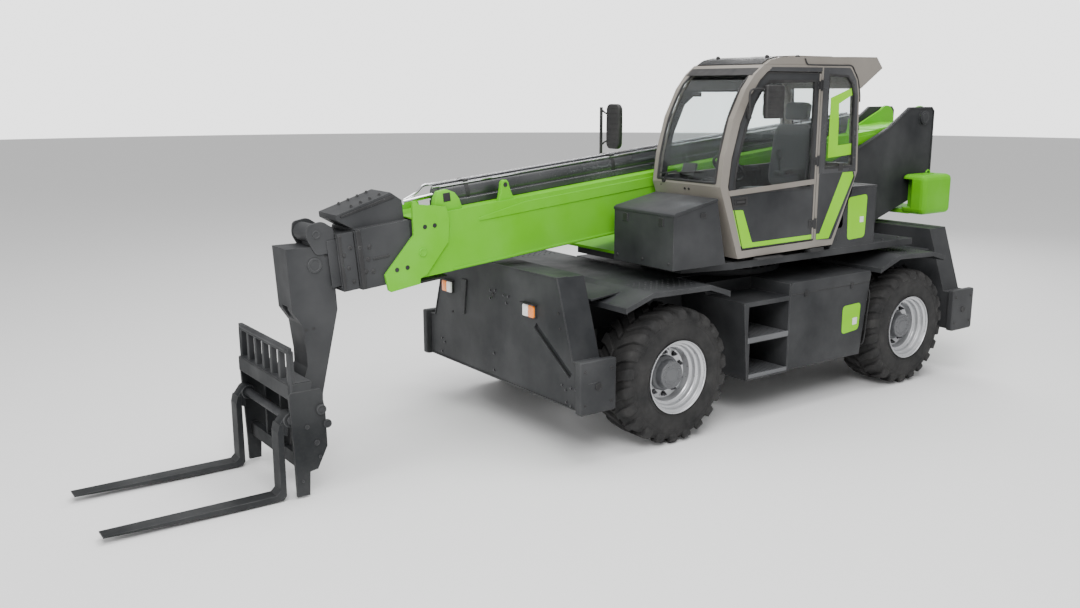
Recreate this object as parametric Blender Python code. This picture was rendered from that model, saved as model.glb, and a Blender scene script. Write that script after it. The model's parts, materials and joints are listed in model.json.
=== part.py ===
"""Rotating telehandler with a telescopic boom and pallet forks.

Metres, +Z up, +X forward along the boom, +Y to the left (the cab's side).
Side-view sizes are given from the middle of the wheelbase; the empty "vehicle"
carries everything and puts the origin under the middle of the whole machine.
"""

import math

import bmesh
import bpy
from mathutils import Matrix, Vector

# ---------------------------------------------------------------- driving sizes
GAP = 0.0003            # left between pieces that rest on each other
PLAY = 0.008            # left between pieces that move past each other

WHEELBASE = 3.10
OVERALL_WIDTH = 2.50
TYRE_RADIUS = 0.575
TYRE_WIDTH = 0.45
RIM_RADIUS = 0.300      # where the tyre sits on its rim
KINGPIN_OFFSET = 0.095  # from the wheel's middle plane, inwards
WHEEL_STEPS = 32        # facets round a wheel

FRONT_BOX_X = (2.250, 2.510)    # front outrigger box, rear and front faces
REAR_BOX_X = (-2.363, -2.623)   # rear outrigger box, front and rear faces
BOX_BOTTOM = 0.430
BOX_TOP = 1.450
LEG_SLOPE = math.radians(33.7)  # outrigger legs run down and out at this angle

FRAME_HALF = 0.40
FRAME_TOP = 1.205
RING_RADIUS = 0.62
RING_TOP = 1.345

TURRET_FLOOR = 1.440    # top of the turret's base plate
BOOM_Y = 0.03           # the boom's middle plane
PIVOT_X = -2.92         # boom pivot
PIVOT_Z = 2.582
BOOM_DROP = math.radians(5.465)     # the stowed boom falls this much to the front

BOOM_WIDTH = 0.430
BOOM_LOW = -0.523       # underside of the base section, from the pivot
BOOM_HIGH = -0.043      # its top
BOOM_FRONT = 6.395      # its front end, from the pivot
WALL = 0.012

CYLINDER_BASE = (-2.40, 1.72)
CYLINDER_EYE = (0.40, 1.64)

CAB_RIGHT = 0.32
CAB_LEFT = 1.16
DOOR_HINGE_X = -0.150

TILT_PIN = (4.27, 0.52)     # carriage pivot at the foot of the gooseneck
FORK_LENGTH = 1.25
FORK_HEEL_X = 4.66
FORK_Y = 0.425

WHEEL_X = WHEELBASE / 2
WHEEL_Y = (OVERALL_WIDTH - TYRE_WIDTH) / 2
KINGPIN_Y = WHEEL_Y - KINGPIN_OFFSET
FORK_TIP_X = FORK_HEEL_X + FORK_LENGTH
TAIL_X = -3.11
ORIGIN_X = -(FORK_TIP_X + TAIL_X) / 2


# ------------------------------------------------------------------- materials
def material(name, colour, roughness, metallic=0.0, transmission=0.0):
    made = bpy.data.materials.new(name)
    made.use_nodes = True
    shader = made.node_tree.nodes["Principled BSDF"]
    shader.inputs["Base Color"].default_value = (*colour, 1.0)
    shader.inputs["Roughness"].default_value = roughness
    shader.inputs["Metallic"].default_value = metallic
    shader.inputs["Transmission Weight"].default_value = transmission
    return made


def clear_scene():
    for obj in list(bpy.data.objects):
        bpy.data.objects.remove(obj)


clear_scene()
LIME = material("lime_paint", (0.26, 0.58, 0.02), 0.35)
CHARCOAL = material("charcoal_paint", (0.045, 0.048, 0.055), 0.5)
BLACK = material("black_paint", (0.015, 0.015, 0.017), 0.6)
CAB_GREY = material("cab_paint", (0.27, 0.24, 0.21), 0.45)
SILVER = material("wheel_silver", (0.62, 0.63, 0.65), 0.3, 1.0)
RUBBER = material("tyre_rubber", (0.02, 0.02, 0.02), 0.85)
GLASS = material("window_glass", (0.75, 0.80, 0.80), 0.05, 0.0, 1.0)
CHROME = material("cylinder_chrome", (0.8, 0.8, 0.82), 0.1, 1.0)
TRIM = material("cab_trim", (0.03, 0.03, 0.033), 0.7)
ENGINE = material("engine_iron", (0.12, 0.12, 0.12), 0.6, 0.6)


# ------------------------------------------------------------------ the bodies
def empty(name, place, parent=None, turn_y=0.0):
    """An empty on a joint's axis. place is measured from the middle of the wheelbase."""
    made = bpy.data.objects.new(name, None)
    bpy.context.collection.objects.link(made)
    local = Matrix.Translation(place) @ Matrix.Rotation(turn_y, 4, "Y")
    if parent is not None:
        made.parent = parent
        local = WORLD[parent.name].inverted() @ local
        WORLD[name] = WORLD[parent.name] @ local
    else:
        WORLD[name] = local
    made.matrix_basis = local
    return made


WORLD = {}
VEHICLE = empty("vehicle", (0, 0, 0))
TURRET = empty("turret", (0, 0, TURRET_FLOOR), VEHICLE)
BOOM = empty("boom", (PIVOT_X, BOOM_Y, PIVOT_Z), TURRET, BOOM_DROP)
SECTION_2 = empty("section_2", (PIVOT_X, BOOM_Y, PIVOT_Z), BOOM, BOOM_DROP)
SECTION_3 = empty("section_3", (PIVOT_X, BOOM_Y, PIVOT_Z), SECTION_2, BOOM_DROP)
SECTION_4 = empty("section_4", (PIVOT_X, BOOM_Y, PIVOT_Z), SECTION_3, BOOM_DROP)
CARRIAGE = empty("carriage", (TILT_PIN[0], BOOM_Y, TILT_PIN[1]), SECTION_4)
BARREL = empty("lift_barrel", (CYLINDER_BASE[0], BOOM_Y, CYLINDER_BASE[1]), TURRET)
ROD = empty("lift_rod", (CYLINDER_BASE[0], BOOM_Y, CYLINDER_BASE[1]), BARREL)
DOOR = empty("door", (DOOR_HINGE_X, CAB_LEFT, 0), TURRET)


# --------------------------------------------------------------- shape helpers
def finish(name, bm, paint, body=None, smooth=30.0, shown=True):
    """Turns a bmesh in vehicle coordinates into an object carried by body."""
    body = body or VEHICLE
    bm.transform(WORLD[body.name].inverted())
    bmesh.ops.recalc_face_normals(bm, faces=bm.faces)
    mesh = bpy.data.meshes.new(name)
    bm.to_mesh(mesh)
    bm.free()
    mesh.materials.append(paint)
    if smooth:
        mesh.shade_smooth()
        mesh.set_sharp_from_angle(angle=math.radians(smooth))
    obj = bpy.data.objects.new(name, mesh)
    bpy.context.collection.objects.link(obj)
    obj.parent = body
    if not shown:
        obj.hide_render = True
        obj.display_type = "WIRE"
    return obj


def prism(outline, lo, hi, axis="y"):
    """A closed outline swept along an axis. Outlines are (x, z) for y, (y, z) for x, (x, y) for z."""
    bm = bmesh.new()
    spread = {
        "y": lambda a, b, s: (a, s, b),
        "x": lambda a, b, s: (s, a, b),
        "z": lambda a, b, s: (a, b, s),
    }[axis]
    ends = [[bm.verts.new(spread(a, b, s)) for a, b in outline] for s in (lo, hi)]
    bm.faces.new(ends[0])
    bm.faces.new(ends[1])
    for i in range(len(outline)):
        j = (i + 1) % len(outline)
        bm.faces.new((ends[0][i], ends[0][j], ends[1][j], ends[1][i]))
    bmesh.ops.recalc_face_normals(bm, faces=bm.faces)
    return bm


def block(lo, hi, bevel=0.0, segments=2):
    bm = bmesh.new()
    bmesh.ops.create_cube(bm, size=1.0)
    size = [hi[i] - lo[i] for i in range(3)]
    middle = [(hi[i] + lo[i]) / 2 for i in range(3)]
    bm.transform(Matrix.Translation(middle) @ Matrix.Diagonal((*size, 1)))
    if bevel:
        bevel_edges(bm, bevel, segments)
    return bm


def bevel_edges(bm, width, segments=2, sharper_than=30.0):
    edges = [e for e in bm.edges if e.calc_face_angle(0) > math.radians(sharper_than)]
    bmesh.ops.bevel(
        bm, geom=edges, offset=width, segments=segments, profile=0.5, affect="EDGES", clamp_overlap=True
    )


def turned(profile, centre, axis="y", steps=32):
    """Sweeps (radius, along) points round an axis through centre. The profile starts and ends on the axis."""
    bm = bmesh.new()
    rings = []
    for radius, along in profile:
        if radius < 1e-6:
            rings.append([bm.verts.new((0, 0, along))])
            continue
        ring = []
        for i in range(steps):
            angle = 2 * math.pi * i / steps
            ring.append(bm.verts.new((radius * math.cos(angle), radius * math.sin(angle), along)))
        rings.append(ring)
    pairs = list(zip(rings, rings[1:]))
    if len(rings[0]) > 1:
        pairs.append((rings[-1], rings[0]))
    for one, two in pairs:
        for i in range(steps):
            j = (i + 1) % steps
            if len(one) == 1:
                bm.faces.new((one[0], two[i], two[j]))
            elif len(two) == 1:
                bm.faces.new((one[i], two[0], one[j]))
            else:
                bm.faces.new((one[i], two[i], two[j], one[j]))
    turn = {
        "x": Matrix.Rotation(math.pi / 2, 4, "Y"),
        "y": Matrix.Rotation(-math.pi / 2, 4, "X"),
        "z": Matrix.Identity(4),
    }[axis]
    bm.transform(Matrix.Translation(centre) @ turn)
    bmesh.ops.recalc_face_normals(bm, faces=bm.faces)
    return bm


def rod_between(start, end, radius, steps=12):
    """A round bar between two points."""
    start, end = Vector(start), Vector(end)
    along = end - start
    bm = bmesh.new()
    bmesh.ops.create_cone(
        bm, cap_ends=True, segments=steps, radius1=radius, radius2=radius, depth=along.length
    )
    turn = along.to_track_quat("Z", "Y").to_matrix().to_4x4()
    bm.transform(Matrix.Translation((start + end) / 2) @ turn)
    return bm


def combine(obj, others, operation):
    """Welds shapes to obj, or cuts them from it, and keeps the result as its mesh."""
    helpers = []
    for number, bm in enumerate(others):
        helper = finish(f"{obj.name}_{operation.lower()}_{number}", bm, obj.data.materials[0], obj.parent,
            0, False)
        helpers.append(helper)
        step = obj.modifiers.new(f"{operation.lower()}_{number}", "BOOLEAN")
        step.operation = operation
        step.solver = "EXACT"
        step.object = helper
    bpy.context.view_layer.update()
    graph = bpy.context.evaluated_depsgraph_get()
    mesh = bpy.data.meshes.new_from_object(obj.evaluated_get(graph))
    obj.modifiers.clear()
    obj.data = mesh
    for helper in helpers:
        bpy.data.objects.remove(helper)
    mesh.shade_smooth()
    mesh.set_sharp_from_angle(angle=math.radians(30))
    return obj


def weld(obj, *others):
    return combine(obj, others, "UNION")


def cut(obj, *others):
    return combine(obj, others, "DIFFERENCE")


def arc(centre, radius, start, end, steps):
    """Points on an arc, angles in degrees."""
    found = []
    for i in range(steps + 1):
        angle = math.radians(start + (end - start) * i / steps)
        found.append((centre[0] + radius * math.cos(angle), centre[1] + radius * math.sin(angle)))
    return found


def boom_shape(bm):
    """Moves a shape drawn along the boom (x from the pivot, z square to it) into place."""
    bm.transform(WORLD["boom"])
    return bm


# ---------------------------------------------------------------------- wheels
def tyre(name, body, centre):
    half = TYRE_WIDTH / 2
    profile = [
        (RIM_RADIUS, -0.212), (0.36, -half), (0.46, -half), (0.545, -0.215), (TYRE_RADIUS, -0.18),
        (TYRE_RADIUS, 0.18), (0.545, 0.215), (0.46, half), (0.36, half), (RIM_RADIUS, 0.212),
    ]
    return finish(name, turned(profile, centre, "y", WHEEL_STEPS), RUBBER, body)


def rim(name, body, centre, side):
    """A one-piece wheel: stepped barrel, disc and hub. side is 1 on the left."""
    seat = RIM_RADIUS - GAP
    profile = [
        (0.0, 0.130), (0.142, 0.130), (0.150, 0.085), (0.225, 0.085), (0.238, 0.150),
        (0.264, 0.163), (0.284, 0.222), (seat, 0.222),
        (seat, -0.222), (0.276, -0.222), (0.245, -0.120), (0.240, 0.050),
        (0.110, 0.050), (0.110, -0.078), (0.0, -0.078),
    ]
    profile = [(radius, along * side) for radius, along in profile]
    return finish(name, turned(profile, centre, "y", WHEEL_STEPS), SILVER, body)


def knuckle(name, body, x, side):
    """The swivelling hub carrier between the yoke's arms."""
    profile = [(0.0, 0.0), (0.135, 0.0), (0.15, 0.015), (0.15, 0.120), (0.0, 0.120)]
    drum = turned([(radius, side * along) for radius, along in profile], (x, side * 0.823, TYRE_RADIUS),
        "y", 24)
    return finish(name, drum, BLACK, body)


def wheel_end(corner, x, side):
    pin = (x, side * KINGPIN_Y, TYRE_RADIUS)
    centre = (x, side * WHEEL_Y, TYRE_RADIUS)
    steer = empty(f"steer_{corner}", pin, VEHICLE)
    spin = empty(f"wheel_{corner}", centre, steer)
    knuckle(f"knuckle_{corner}", steer, x, side)
    rim(f"rim_{corner}", spin, centre, side)
    tyre(f"tyre_{corner}", spin, centre)


def axle(name, x):
    """A driven axle: tube, differential, spring pads and a yoke at each end."""
    z = TYRE_RADIUS
    tube = turned(
        [(0.0, -0.715), (0.10, -0.715), (0.10, -0.22), (0.19, -0.12), (0.19, 0.12), (0.10, 0.22),
            (0.10, 0.715),
         (0.0, 0.715)], (x, 0, z), "y", 24,
    )
    obj = finish(name, tube, BLACK)
    parts = [block((x - 0.13, -0.33, z), (x + 0.13, 0.33, 0.85 - GAP), 0.0)]
    for side in (1, -1):
        yoke = [(0.70, z - 0.21), (0.97, z - 0.21), (0.97, z - 0.16), (0.745, z - 0.16),
                (0.745, z + 0.16), (0.97, z + 0.16), (0.97, z + 0.21), (0.70, z + 0.21)]
        parts.append(prism([(side * y, h) for y, h in yoke], x - 0.055, x + 0.055, "x"))
    return weld(obj, *parts)


# --------------------------------------------------------------------- chassis
def chassis_frame():
    """An inverted channel that dips between the axles, with the slewing ring on top."""
    low, high, arch = 0.48, FRAME_TOP, 0.85
    front, rear = FRONT_BOX_X[0] - GAP, REAR_BOX_X[0] + GAP
    outline = [
        (rear, 0.62), (-1.95, 0.62), (-1.86, arch), (-1.24, arch), (-1.12, low), (1.12, low),
        (1.24, arch), (1.86, arch), (1.95, 0.62), (front, 0.62), (front, high), (rear, high),
    ]
    obj = finish("chassis_frame", prism(outline, -FRAME_HALF, FRAME_HALF), CHARCOAL)
    ring = turned([(0.0, 0.0), (RING_RADIUS + 0.06, 0.0), (RING_RADIUS + 0.06, 0.05), (RING_RADIUS, 0.06),
                   (RING_RADIUS, RING_TOP - FRAME_TOP + 0.005), (0.0, RING_TOP - FRAME_TOP + 0.005)],
                  (0, 0, FRAME_TOP - 0.005), "z", 36)
    weld(obj, ring)
    inside = FRAME_HALF - 0.05
    pockets = [
        block((rear + 0.03, -inside, 0.30), (-1.30, inside, high - 0.04)),
        block((-1.24, -inside, 0.30), (1.24, inside, high - 0.30)),
        block((1.30, -inside, 0.30), (front - 0.03, inside, high - 0.04)),
    ]
    return cut(obj, *pockets)


FRONT_FOLDS = [(0.984, 1.236), (1.209, 1.310), (1.843, 1.318), (2.117, 1.228)]
REAR_FOLDS = [(1.060, 1.221), (1.350, 1.322), (1.884, 1.302), (2.077, 1.247)]


def deck(name, direction, folds):
    """Deck and both fenders of one axle, one folded plate on four posts. direction is 1 at the front."""
    thick = 0.014
    outline = [(x * direction, z) for x, z in folds]
    outline += [(x * direction, z - thick) for x, z in reversed(folds)]
    half = OVERALL_WIDTH / 2
    obj = finish(name, prism(outline, -half, half), CHARCOAL)
    apron = [(1.80, 1.305), (1.80, 1.291), (2.235, 1.249), (2.235, 1.263)]
    parts = [prism([(x * direction, z) for x, z in apron], -0.95, 0.95)]
    slope = (folds[2][1] - folds[1][1]) / (folds[2][0] - folds[1][0])
    for x in (1.40, 1.72):
        top = folds[1][1] + slope * (x - folds[1][0]) - thick / 2
        for side in (1, -1):
            parts.append(block_between(direction * x, direction * (x + 0.06), side * 0.30, side * 0.36,
                                       FRAME_TOP + GAP, top))
    return weld(obj, *parts)


def block_between(x0, x1, y0, y1, z0, z1, bevel=0.0):
    return block((min(x0, x1), min(y0, y1), min(z0, z1)), (max(x0, x1), max(y0, y1), max(z0, z1)), bevel)


def outrigger_box(name, x_pair, slot_side):
    """The welded box that the two crossed legs of one end slide in; slot_side is the outer leg's."""
    near, far = x_pair
    outline = [(-1.155, BOX_BOTTOM), (1.155, BOX_BOTTOM), (1.155, 0.82), (1.075, 0.82), (0.865, BOX_TOP),
               (-0.865, BOX_TOP), (-1.075, 0.82), (-1.155, 0.82)]
    obj = finish(name, prism(outline, min(x_pair), max(x_pair), "x"), CHARCOAL)
    wall = 0.020
    hollow = [(-1.30, BOX_BOTTOM + wall), (1.30, BOX_BOTTOM + wall), (1.30, 0.815), (1.052, 0.815),
              (0.851, BOX_TOP - wall), (-0.851, BOX_TOP - wall), (-1.052, 0.815), (-1.30, 0.815)]
    inner = prism(hollow, min(x_pair) + wall, max(x_pair) - wall, "x")
    cut(obj, inner)
    slots = []
    for side, x in ((slot_side, far), (-slot_side, near)):
        middle = (side * 0.80, 0.855)
        length, width = 0.29, 0.03
        along = (side * math.cos(LEG_SLOPE), -math.sin(LEG_SLOPE))
        across = (-along[1], along[0])
        ends = [(1, 1), (1, -1), (-1, -1), (-1, 1)]
        slot = [
            (middle[0] + a * length * along[0] + b * width * across[0],
             middle[1] + a * length * along[1] + b * width * across[1])
            for a, b in ends
        ]
        slots.append(prism(slot, x - 0.03, x + 0.03, "x"))
    return cut(obj, *slots)


def outrigger_leg(name, x_pair, side, outer_lane):
    """A sliding leg with its end plate. outer_lane is true for the leg nearer the box's outer face."""
    near, far = x_pair
    sign = 1 if far > near else -1
    lane = 0.110
    middle_x = (near + far) / 2 + sign * lane / 2 * (1 if outer_lane else -1)
    half_x = 0.0475
    foot = Vector((side * 1.19, 0.607))
    along = Vector((side * math.cos(LEG_SLOPE), -math.sin(LEG_SLOPE)))
    across = Vector((-along[1], along[0]))
    top = foot - along * 1.285
    half = 0.078
    outline = [foot + across * half, top + across * half, top - across * half, foot - across * half]
    body = empty(f"leg_{name}", (middle_x, foot[0], foot[1]), VEHICLE)
    obj = finish(f"outrigger_leg_{name}",
        prism([tuple(p) for p in outline], middle_x - half_x, middle_x + half_x, "x"),
                 CHARCOAL, body)
    cap_x = sorted((near - sign * 0.048, far + sign * 0.052))
    cap = block_between(cap_x[0], cap_x[1], side * 1.166, side * 1.232, 0.424, 0.846, 0.012)
    return weld(obj, cap)


def tank_box(name, side):
    outline = [(0.150, 0.395), (0.150, 1.165), (0.120, 1.195), (-0.965, 1.195), (-0.975, 1.165),
        (-0.865, 0.395)]
    lo, hi = sorted((side * (FRAME_HALF + GAP), side * 1.19))
    return finish(name, prism(outline, lo, hi), CHARCOAL)


def step_unit():
    """Two treads between a front panel and the tank, open to the left."""
    x0, x1 = 0.150 + GAP, 0.745
    y0, y1 = FRAME_HALF + GAP, 1.19
    outline = [(x0, 0.385), (x1 - 0.06, 0.385), (x1, 1.075), (x1, 1.195), (x0, 1.195)]
    obj = finish("step_unit", prism(outline, y0, y1), CHARCOAL)
    cavities = [
        block((x0 + 0.02, 0.72, 0.42), (x1 - 0.085, y1 + 0.1, 0.715)),
        block((x0 + 0.02, 0.72, 0.755), (x1 - 0.06, y1 + 0.1, 1.045)),
        block((x0 + 0.02, 0.72, 1.085), (x1 + 0.1, y1 + 0.1, 1.30)),
    ]
    return cut(obj, *cavities)


def tool_box():
    """The box on the right, in front of the right-hand tank."""
    outline = [(0.150 + GAP, 0.395), (0.680, 0.395), (0.745, 1.075), (0.745, 1.195), (0.150 + GAP, 1.195)]
    return finish("tool_box", prism(outline, -1.19, -(FRAME_HALF + GAP)), CHARCOAL)


# ---------------------------------------------------------------------- turret
def turret_frame():
    """Base plate on the slewing ring, and the two tall plates that hold the boom's pivot."""
    half_width = 1.10
    plan = [(-1.72, -half_width), (0.55, -half_width), (0.95, -0.60), (1.30, -0.45), (1.30, 0.55),
        (1.30, 0.98),
            (0.80, half_width), (-1.72, half_width)]
    low = RING_TOP + 0.012
    obj = finish("turret_frame", prism(plan, low + 0.02, TURRET_FLOOR, "z"), CHARCOAL)
    ring = turned([(0.0, 0.0), (RING_RADIUS, 0.0), (RING_RADIUS, 0.06), (0.0, 0.06)], (0, 0, low), "z", 36)
    plate = [
        (TAIL_X, 2.66), (TAIL_X + 0.04, 2.70), (-2.67, 2.70), (-2.31, 2.485), (-1.76, 2.265), (-0.95, 2.0),
        (0.15, 1.62), (0.25, TURRET_FLOOR - 0.02), (-1.74, TURRET_FLOOR - 0.02), (-2.10, 1.475),
        (TAIL_X, 1.80),
    ]
    inner = BOOM_WIDTH / 2 + 0.030
    outer = inner + 0.030
    plates = [prism(plate, BOOM_Y + inner, BOOM_Y + outer), prism(plate, BOOM_Y - outer, BOOM_Y - inner)]
    cross = block((-2.75, BOOM_Y - outer + 0.005, 1.70), (-2.62, BOOM_Y + outer - 0.005, 1.90))
    floor_bar = block((-2.20, BOOM_Y - outer + 0.005, 1.47), (-1.70, BOOM_Y + outer - 0.005, 1.50))
    pivot = rod_between((PIVOT_X, BOOM_Y - outer - 0.03, PIVOT_Z),
        (PIVOT_X, BOOM_Y - inner + 0.002, PIVOT_Z), 0.075, 20)
    pivot_2 = rod_between((PIVOT_X, BOOM_Y + outer + 0.03, PIVOT_Z),
        (PIVOT_X, BOOM_Y + inner - 0.002, PIVOT_Z), 0.075, 20)
    base_pin = rod_between((CYLINDER_BASE[0], BOOM_Y - inner - 0.01, CYLINDER_BASE[1]),
                           (CYLINDER_BASE[0], BOOM_Y - 0.075, CYLINDER_BASE[1]), 0.05, 16)
    base_pin_2 = rod_between((CYLINDER_BASE[0], BOOM_Y + inner + 0.01, CYLINDER_BASE[1]),
                             (CYLINDER_BASE[0], BOOM_Y + 0.075, CYLINDER_BASE[1]), 0.05, 16)
    return weld(obj, ring, *plates, cross, floor_bar, pivot, pivot_2, base_pin, base_pin_2)


WEIGHT_FRONT, WEIGHT_REAR = -2.600, -3.105
WEIGHT_LOW, WEIGHT_HIGH = 1.550, 1.980
WEIGHT_WIDTH = 0.302    # of the block outside each side plate


def counterweight():
    """Cast counterweight round the tail: a block outside each side plate, joined by a slab below them."""
    plate_side = BOOM_WIDTH / 2 + 0.060 + GAP
    blocks = []
    for s in (1, -1):
        y0, y1 = sorted((BOOM_Y + s * plate_side, BOOM_Y + s * (plate_side + WEIGHT_WIDTH)))
        blocks.append(block((WEIGHT_REAR, y0, WEIGHT_LOW), (WEIGHT_FRONT, y1, WEIGHT_HIGH), 0.055, 3))
    obj = finish("counterweight", blocks[0], LIME, TURRET)
    reach = plate_side + 0.10
    slab = block((WEIGHT_REAR + 0.02, BOOM_Y - reach, WEIGHT_LOW),
        (WEIGHT_FRONT - 0.02, BOOM_Y + reach, WEIGHT_LOW + 0.05))
    weld(obj, blocks[1], slab)
    recesses = []
    for s in (1, -1):
        y0, y1 = sorted((BOOM_Y + s * (plate_side - 0.02), BOOM_Y + s * (plate_side + 0.14)))
        recesses.append(block((WEIGHT_FRONT - 0.14, y0, 1.620), (WEIGHT_FRONT + 0.10, y1, 1.930)))
    return cut(obj, *recesses)


def side_housing():
    """Cover behind the cab with the hydraulic valves inside."""
    y0 = BOOM_Y + BOOM_WIDTH / 2 + 0.060 + GAP
    outline = [(-0.45, TURRET_FLOOR + GAP), (-0.735, 1.95), (-0.735, 2.0), (-1.10, 2.0),
        (-1.10, TURRET_FLOOR + GAP)]
    return finish("side_housing", prism(outline, y0, 1.10), CHARCOAL, TURRET)


def front_box():
    """Box in front of the cab with a gently rising lid."""
    outline = [(0.955, 1.4465), (1.555, 1.4465), (1.555, 1.905), (1.535, 1.918), (1.075, 2.005)]
    return finish("front_box", prism(outline, 0.40, 1.15), CHARCOAL, TURRET)


HOOD_RIGHT = -1.14


def engine_hood():
    """Hood over the engine on the right, with a low nose under the boom."""
    y_out, y_in = HOOD_RIGHT, BOOM_Y - BOOM_WIDTH / 2 - 0.060 - GAP
    outline = [(-1.70, TURRET_FLOOR + GAP), (0.50, TURRET_FLOOR + GAP), (0.50, 1.62), (0.38, 1.92),
        (0.28, 2.0), (-1.62, 2.0), (-1.70, 1.92)]
    obj = finish("engine_hood", prism(outline, y_out, y_in), LIME, TURRET)
    inside = block((-1.67, y_out + 0.03, 1.30), (0.30, y_in - 0.03, 1.90))
    cut(obj, inside)
    nose = [(0.46, TURRET_FLOOR + GAP), (1.34, TURRET_FLOOR + GAP), (1.34, 1.465), (0.46, 1.580)]
    return weld(obj, prism(nose, -0.56, 0.30))


def engine_block():
    lo = (-1.35, -0.98, TURRET_FLOOR + GAP)
    return finish("engine_block", block(lo, (-0.25, -0.42, 1.86), 0.02), ENGINE, TURRET)


# ------------------------------------------------------------------------- cab
CAB_SIDE = [
    (-0.412, 1.495), (0.818, 1.479), (1.053, 2.101), (1.020, 2.35), (0.930, 2.66), (0.800, 2.90),
    (0.690, 3.025), (0.585, 3.100), (-0.545, 3.100), (-0.640, 2.98), (-0.678, 2.85), (-0.690, 2.58),
    (-0.714, 2.151),
]
DOOR_OPENING = [
    (DOOR_HINGE_X, 1.555), (0.775, 1.545), (0.965, 2.10), (0.935, 2.33), (0.850, 2.62), (0.735, 2.850),
    (0.635, 2.970), (0.540, 3.045), (DOOR_HINGE_X, 3.045),
]
DOOR_GLASS = [
    (-0.085, 2.03), (0.890, 2.03), (0.895, 2.12), (0.870, 2.31), (0.790, 2.58), (0.690, 2.80), (0.600, 2.91),
    (0.515, 2.975), (-0.085, 2.975),
]
QUARTER_GLASS = [
    (-0.245, 2.19), (-0.640, 2.19), (-0.630, 2.60), (-0.620, 2.85), (-0.575, 2.965), (-0.505, 3.02),
    (-0.245, 3.03),
]
WINDSCREEN_LINE = [
    (1.040, 2.140), (1.009, 2.352), (0.920, 2.655), (0.791, 2.893), (0.725, 2.966), (0.655, 3.022),
]


def shrunk(outline, margin):
    """The outline moved inwards by margin along each side's normal."""
    count = len(outline)
    area = sum(outline[i][0] * outline[(i + 1) % count][1] - outline[(i + 1) % count][0] * outline[i][1]
               for i in range(count))
    turn = 1 if area > 0 else -1
    moved = []
    for i in range(count):
        before, here, after = Vector(outline[i - 1]), Vector(outline[i]), Vector(outline[(i + 1) % count])
        one, two = (here - before).normalized(), (after - here).normalized()
        normal_one, normal_two = Vector((-one.y, one.x)) * turn, Vector((-two.y, two.x)) * turn
        bisector = (normal_one + normal_two).normalized()
        moved.append(tuple(here + bisector * margin / max(0.2, bisector.dot(normal_one))))
    return moved


def cab_frame():
    """Welded cab shell with its windows and door cut out."""
    obj = finish("cab_frame", prism(CAB_SIDE, CAB_RIGHT, CAB_LEFT), CAB_GREY, TURRET)
    skin = 0.045
    hollow = prism(shrunk(CAB_SIDE, skin), CAB_RIGHT + skin, CAB_LEFT - skin)
    cut(obj, hollow)
    openings = [
        prism(DOOR_OPENING, CAB_LEFT - 0.10, CAB_LEFT + 0.05),
        prism(QUARTER_GLASS, CAB_LEFT - 0.10, CAB_LEFT + 0.05),
        prism([(-0.60, 2.20), (0.93, 2.15), (0.86, 2.50), (0.73, 2.78), (0.55, 2.93), (-0.55, 2.93)],
              CAB_RIGHT - 0.05, CAB_RIGHT + 0.10),
        block((0.60, CAB_RIGHT + 0.06, 2.135), (1.20, CAB_LEFT - 0.06, 3.025)),
        block((-0.80, CAB_RIGHT + 0.07, 2.22), (-0.55, CAB_LEFT - 0.07, 2.90)),
    ]
    return cut(obj, *openings)


def cab_roof():
    """Roof panel with the spoiler at its rear."""
    low = 3.100 + GAP
    outline = [
        (0.570, low), (0.500, 3.140), (0.390, 3.162), (0.10, 3.170), (-0.60, 3.180), (-0.907, 3.182),
        (-0.997, 3.085), (-0.700, 2.90), (-0.682, 2.90), (-0.648, 2.995), (-0.555, low),
    ]
    return finish("cab_roof", prism(outline, CAB_RIGHT + 0.005, CAB_LEFT - 0.005), CAB_GREY, TURRET)


def strip_outline(points, thick):
    """A band of the given thickness that follows a line of points, on its right-hand side."""
    inner = []
    for i, (x, z) in enumerate(points):
        before = Vector(points[max(i - 1, 0)])
        after = Vector(points[min(i + 1, len(points) - 1)])
        along = (after - before).normalized()
        inner.append((x + along.y * thick, z - along.x * thick))
    return list(points) + inner[::-1]


def windscreen():
    outline = strip_outline(WINDSCREEN_LINE, -0.008)
    return finish("windscreen", prism(outline, CAB_RIGHT + 0.063, CAB_LEFT - 0.063), GLASS, TURRET)


def quarter_window():
    return finish("quarter_window", prism(shrunk(QUARTER_GLASS, 0.003), CAB_LEFT - 0.022, CAB_LEFT - 0.014),
        GLASS, TURRET)


def right_window():
    outline = [(-0.60, 2.20), (0.93, 2.15), (0.86, 2.50), (0.73, 2.78), (0.55, 2.93), (-0.55, 2.93)]
    return finish("right_window", prism(shrunk(outline, 0.003), CAB_RIGHT + 0.014, CAB_RIGHT + 0.022),
        GLASS, TURRET)


def rear_window():
    line = [(-0.693, 2.224), (-0.672, 2.58), (-0.660, 2.85), (-0.653, 2.896)]
    outline = strip_outline(line, 0.008)
    return finish("rear_window", prism(outline, CAB_RIGHT + 0.073, CAB_LEFT - 0.073), GLASS, TURRET)


def door():
    """Door leaf, hinged at its rear edge, and its glass."""
    outline = shrunk(DOOR_OPENING, PLAY)
    obj = finish("cab_door", prism(outline, CAB_LEFT - 0.045, CAB_LEFT - 0.002), CHARCOAL, DOOR)
    cut(obj, prism(DOOR_GLASS, CAB_LEFT - 0.10, CAB_LEFT + 0.05))
    finish("door_glass", prism(shrunk(DOOR_GLASS, 0.003), CAB_LEFT - 0.022, CAB_LEFT - 0.014), GLASS, DOOR)


def seat():
    """Seat on its pedestal."""
    y0, y1 = 0.50, 0.96
    outline = [
        (-0.36, 1.53 + 0.01), (0.10, 1.54), (0.10, 1.86), (0.22, 1.88), (0.24, 1.96), (0.20, 2.02),
        (-0.20, 1.99),
        (-0.30, 2.55), (-0.33, 2.78), (-0.42, 2.78), (-0.42, 2.50), (-0.36, 1.95), (-0.33, 1.86),
    ]
    return finish("seat", prism(outline, y0, y1), TRIM, TURRET)


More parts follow.
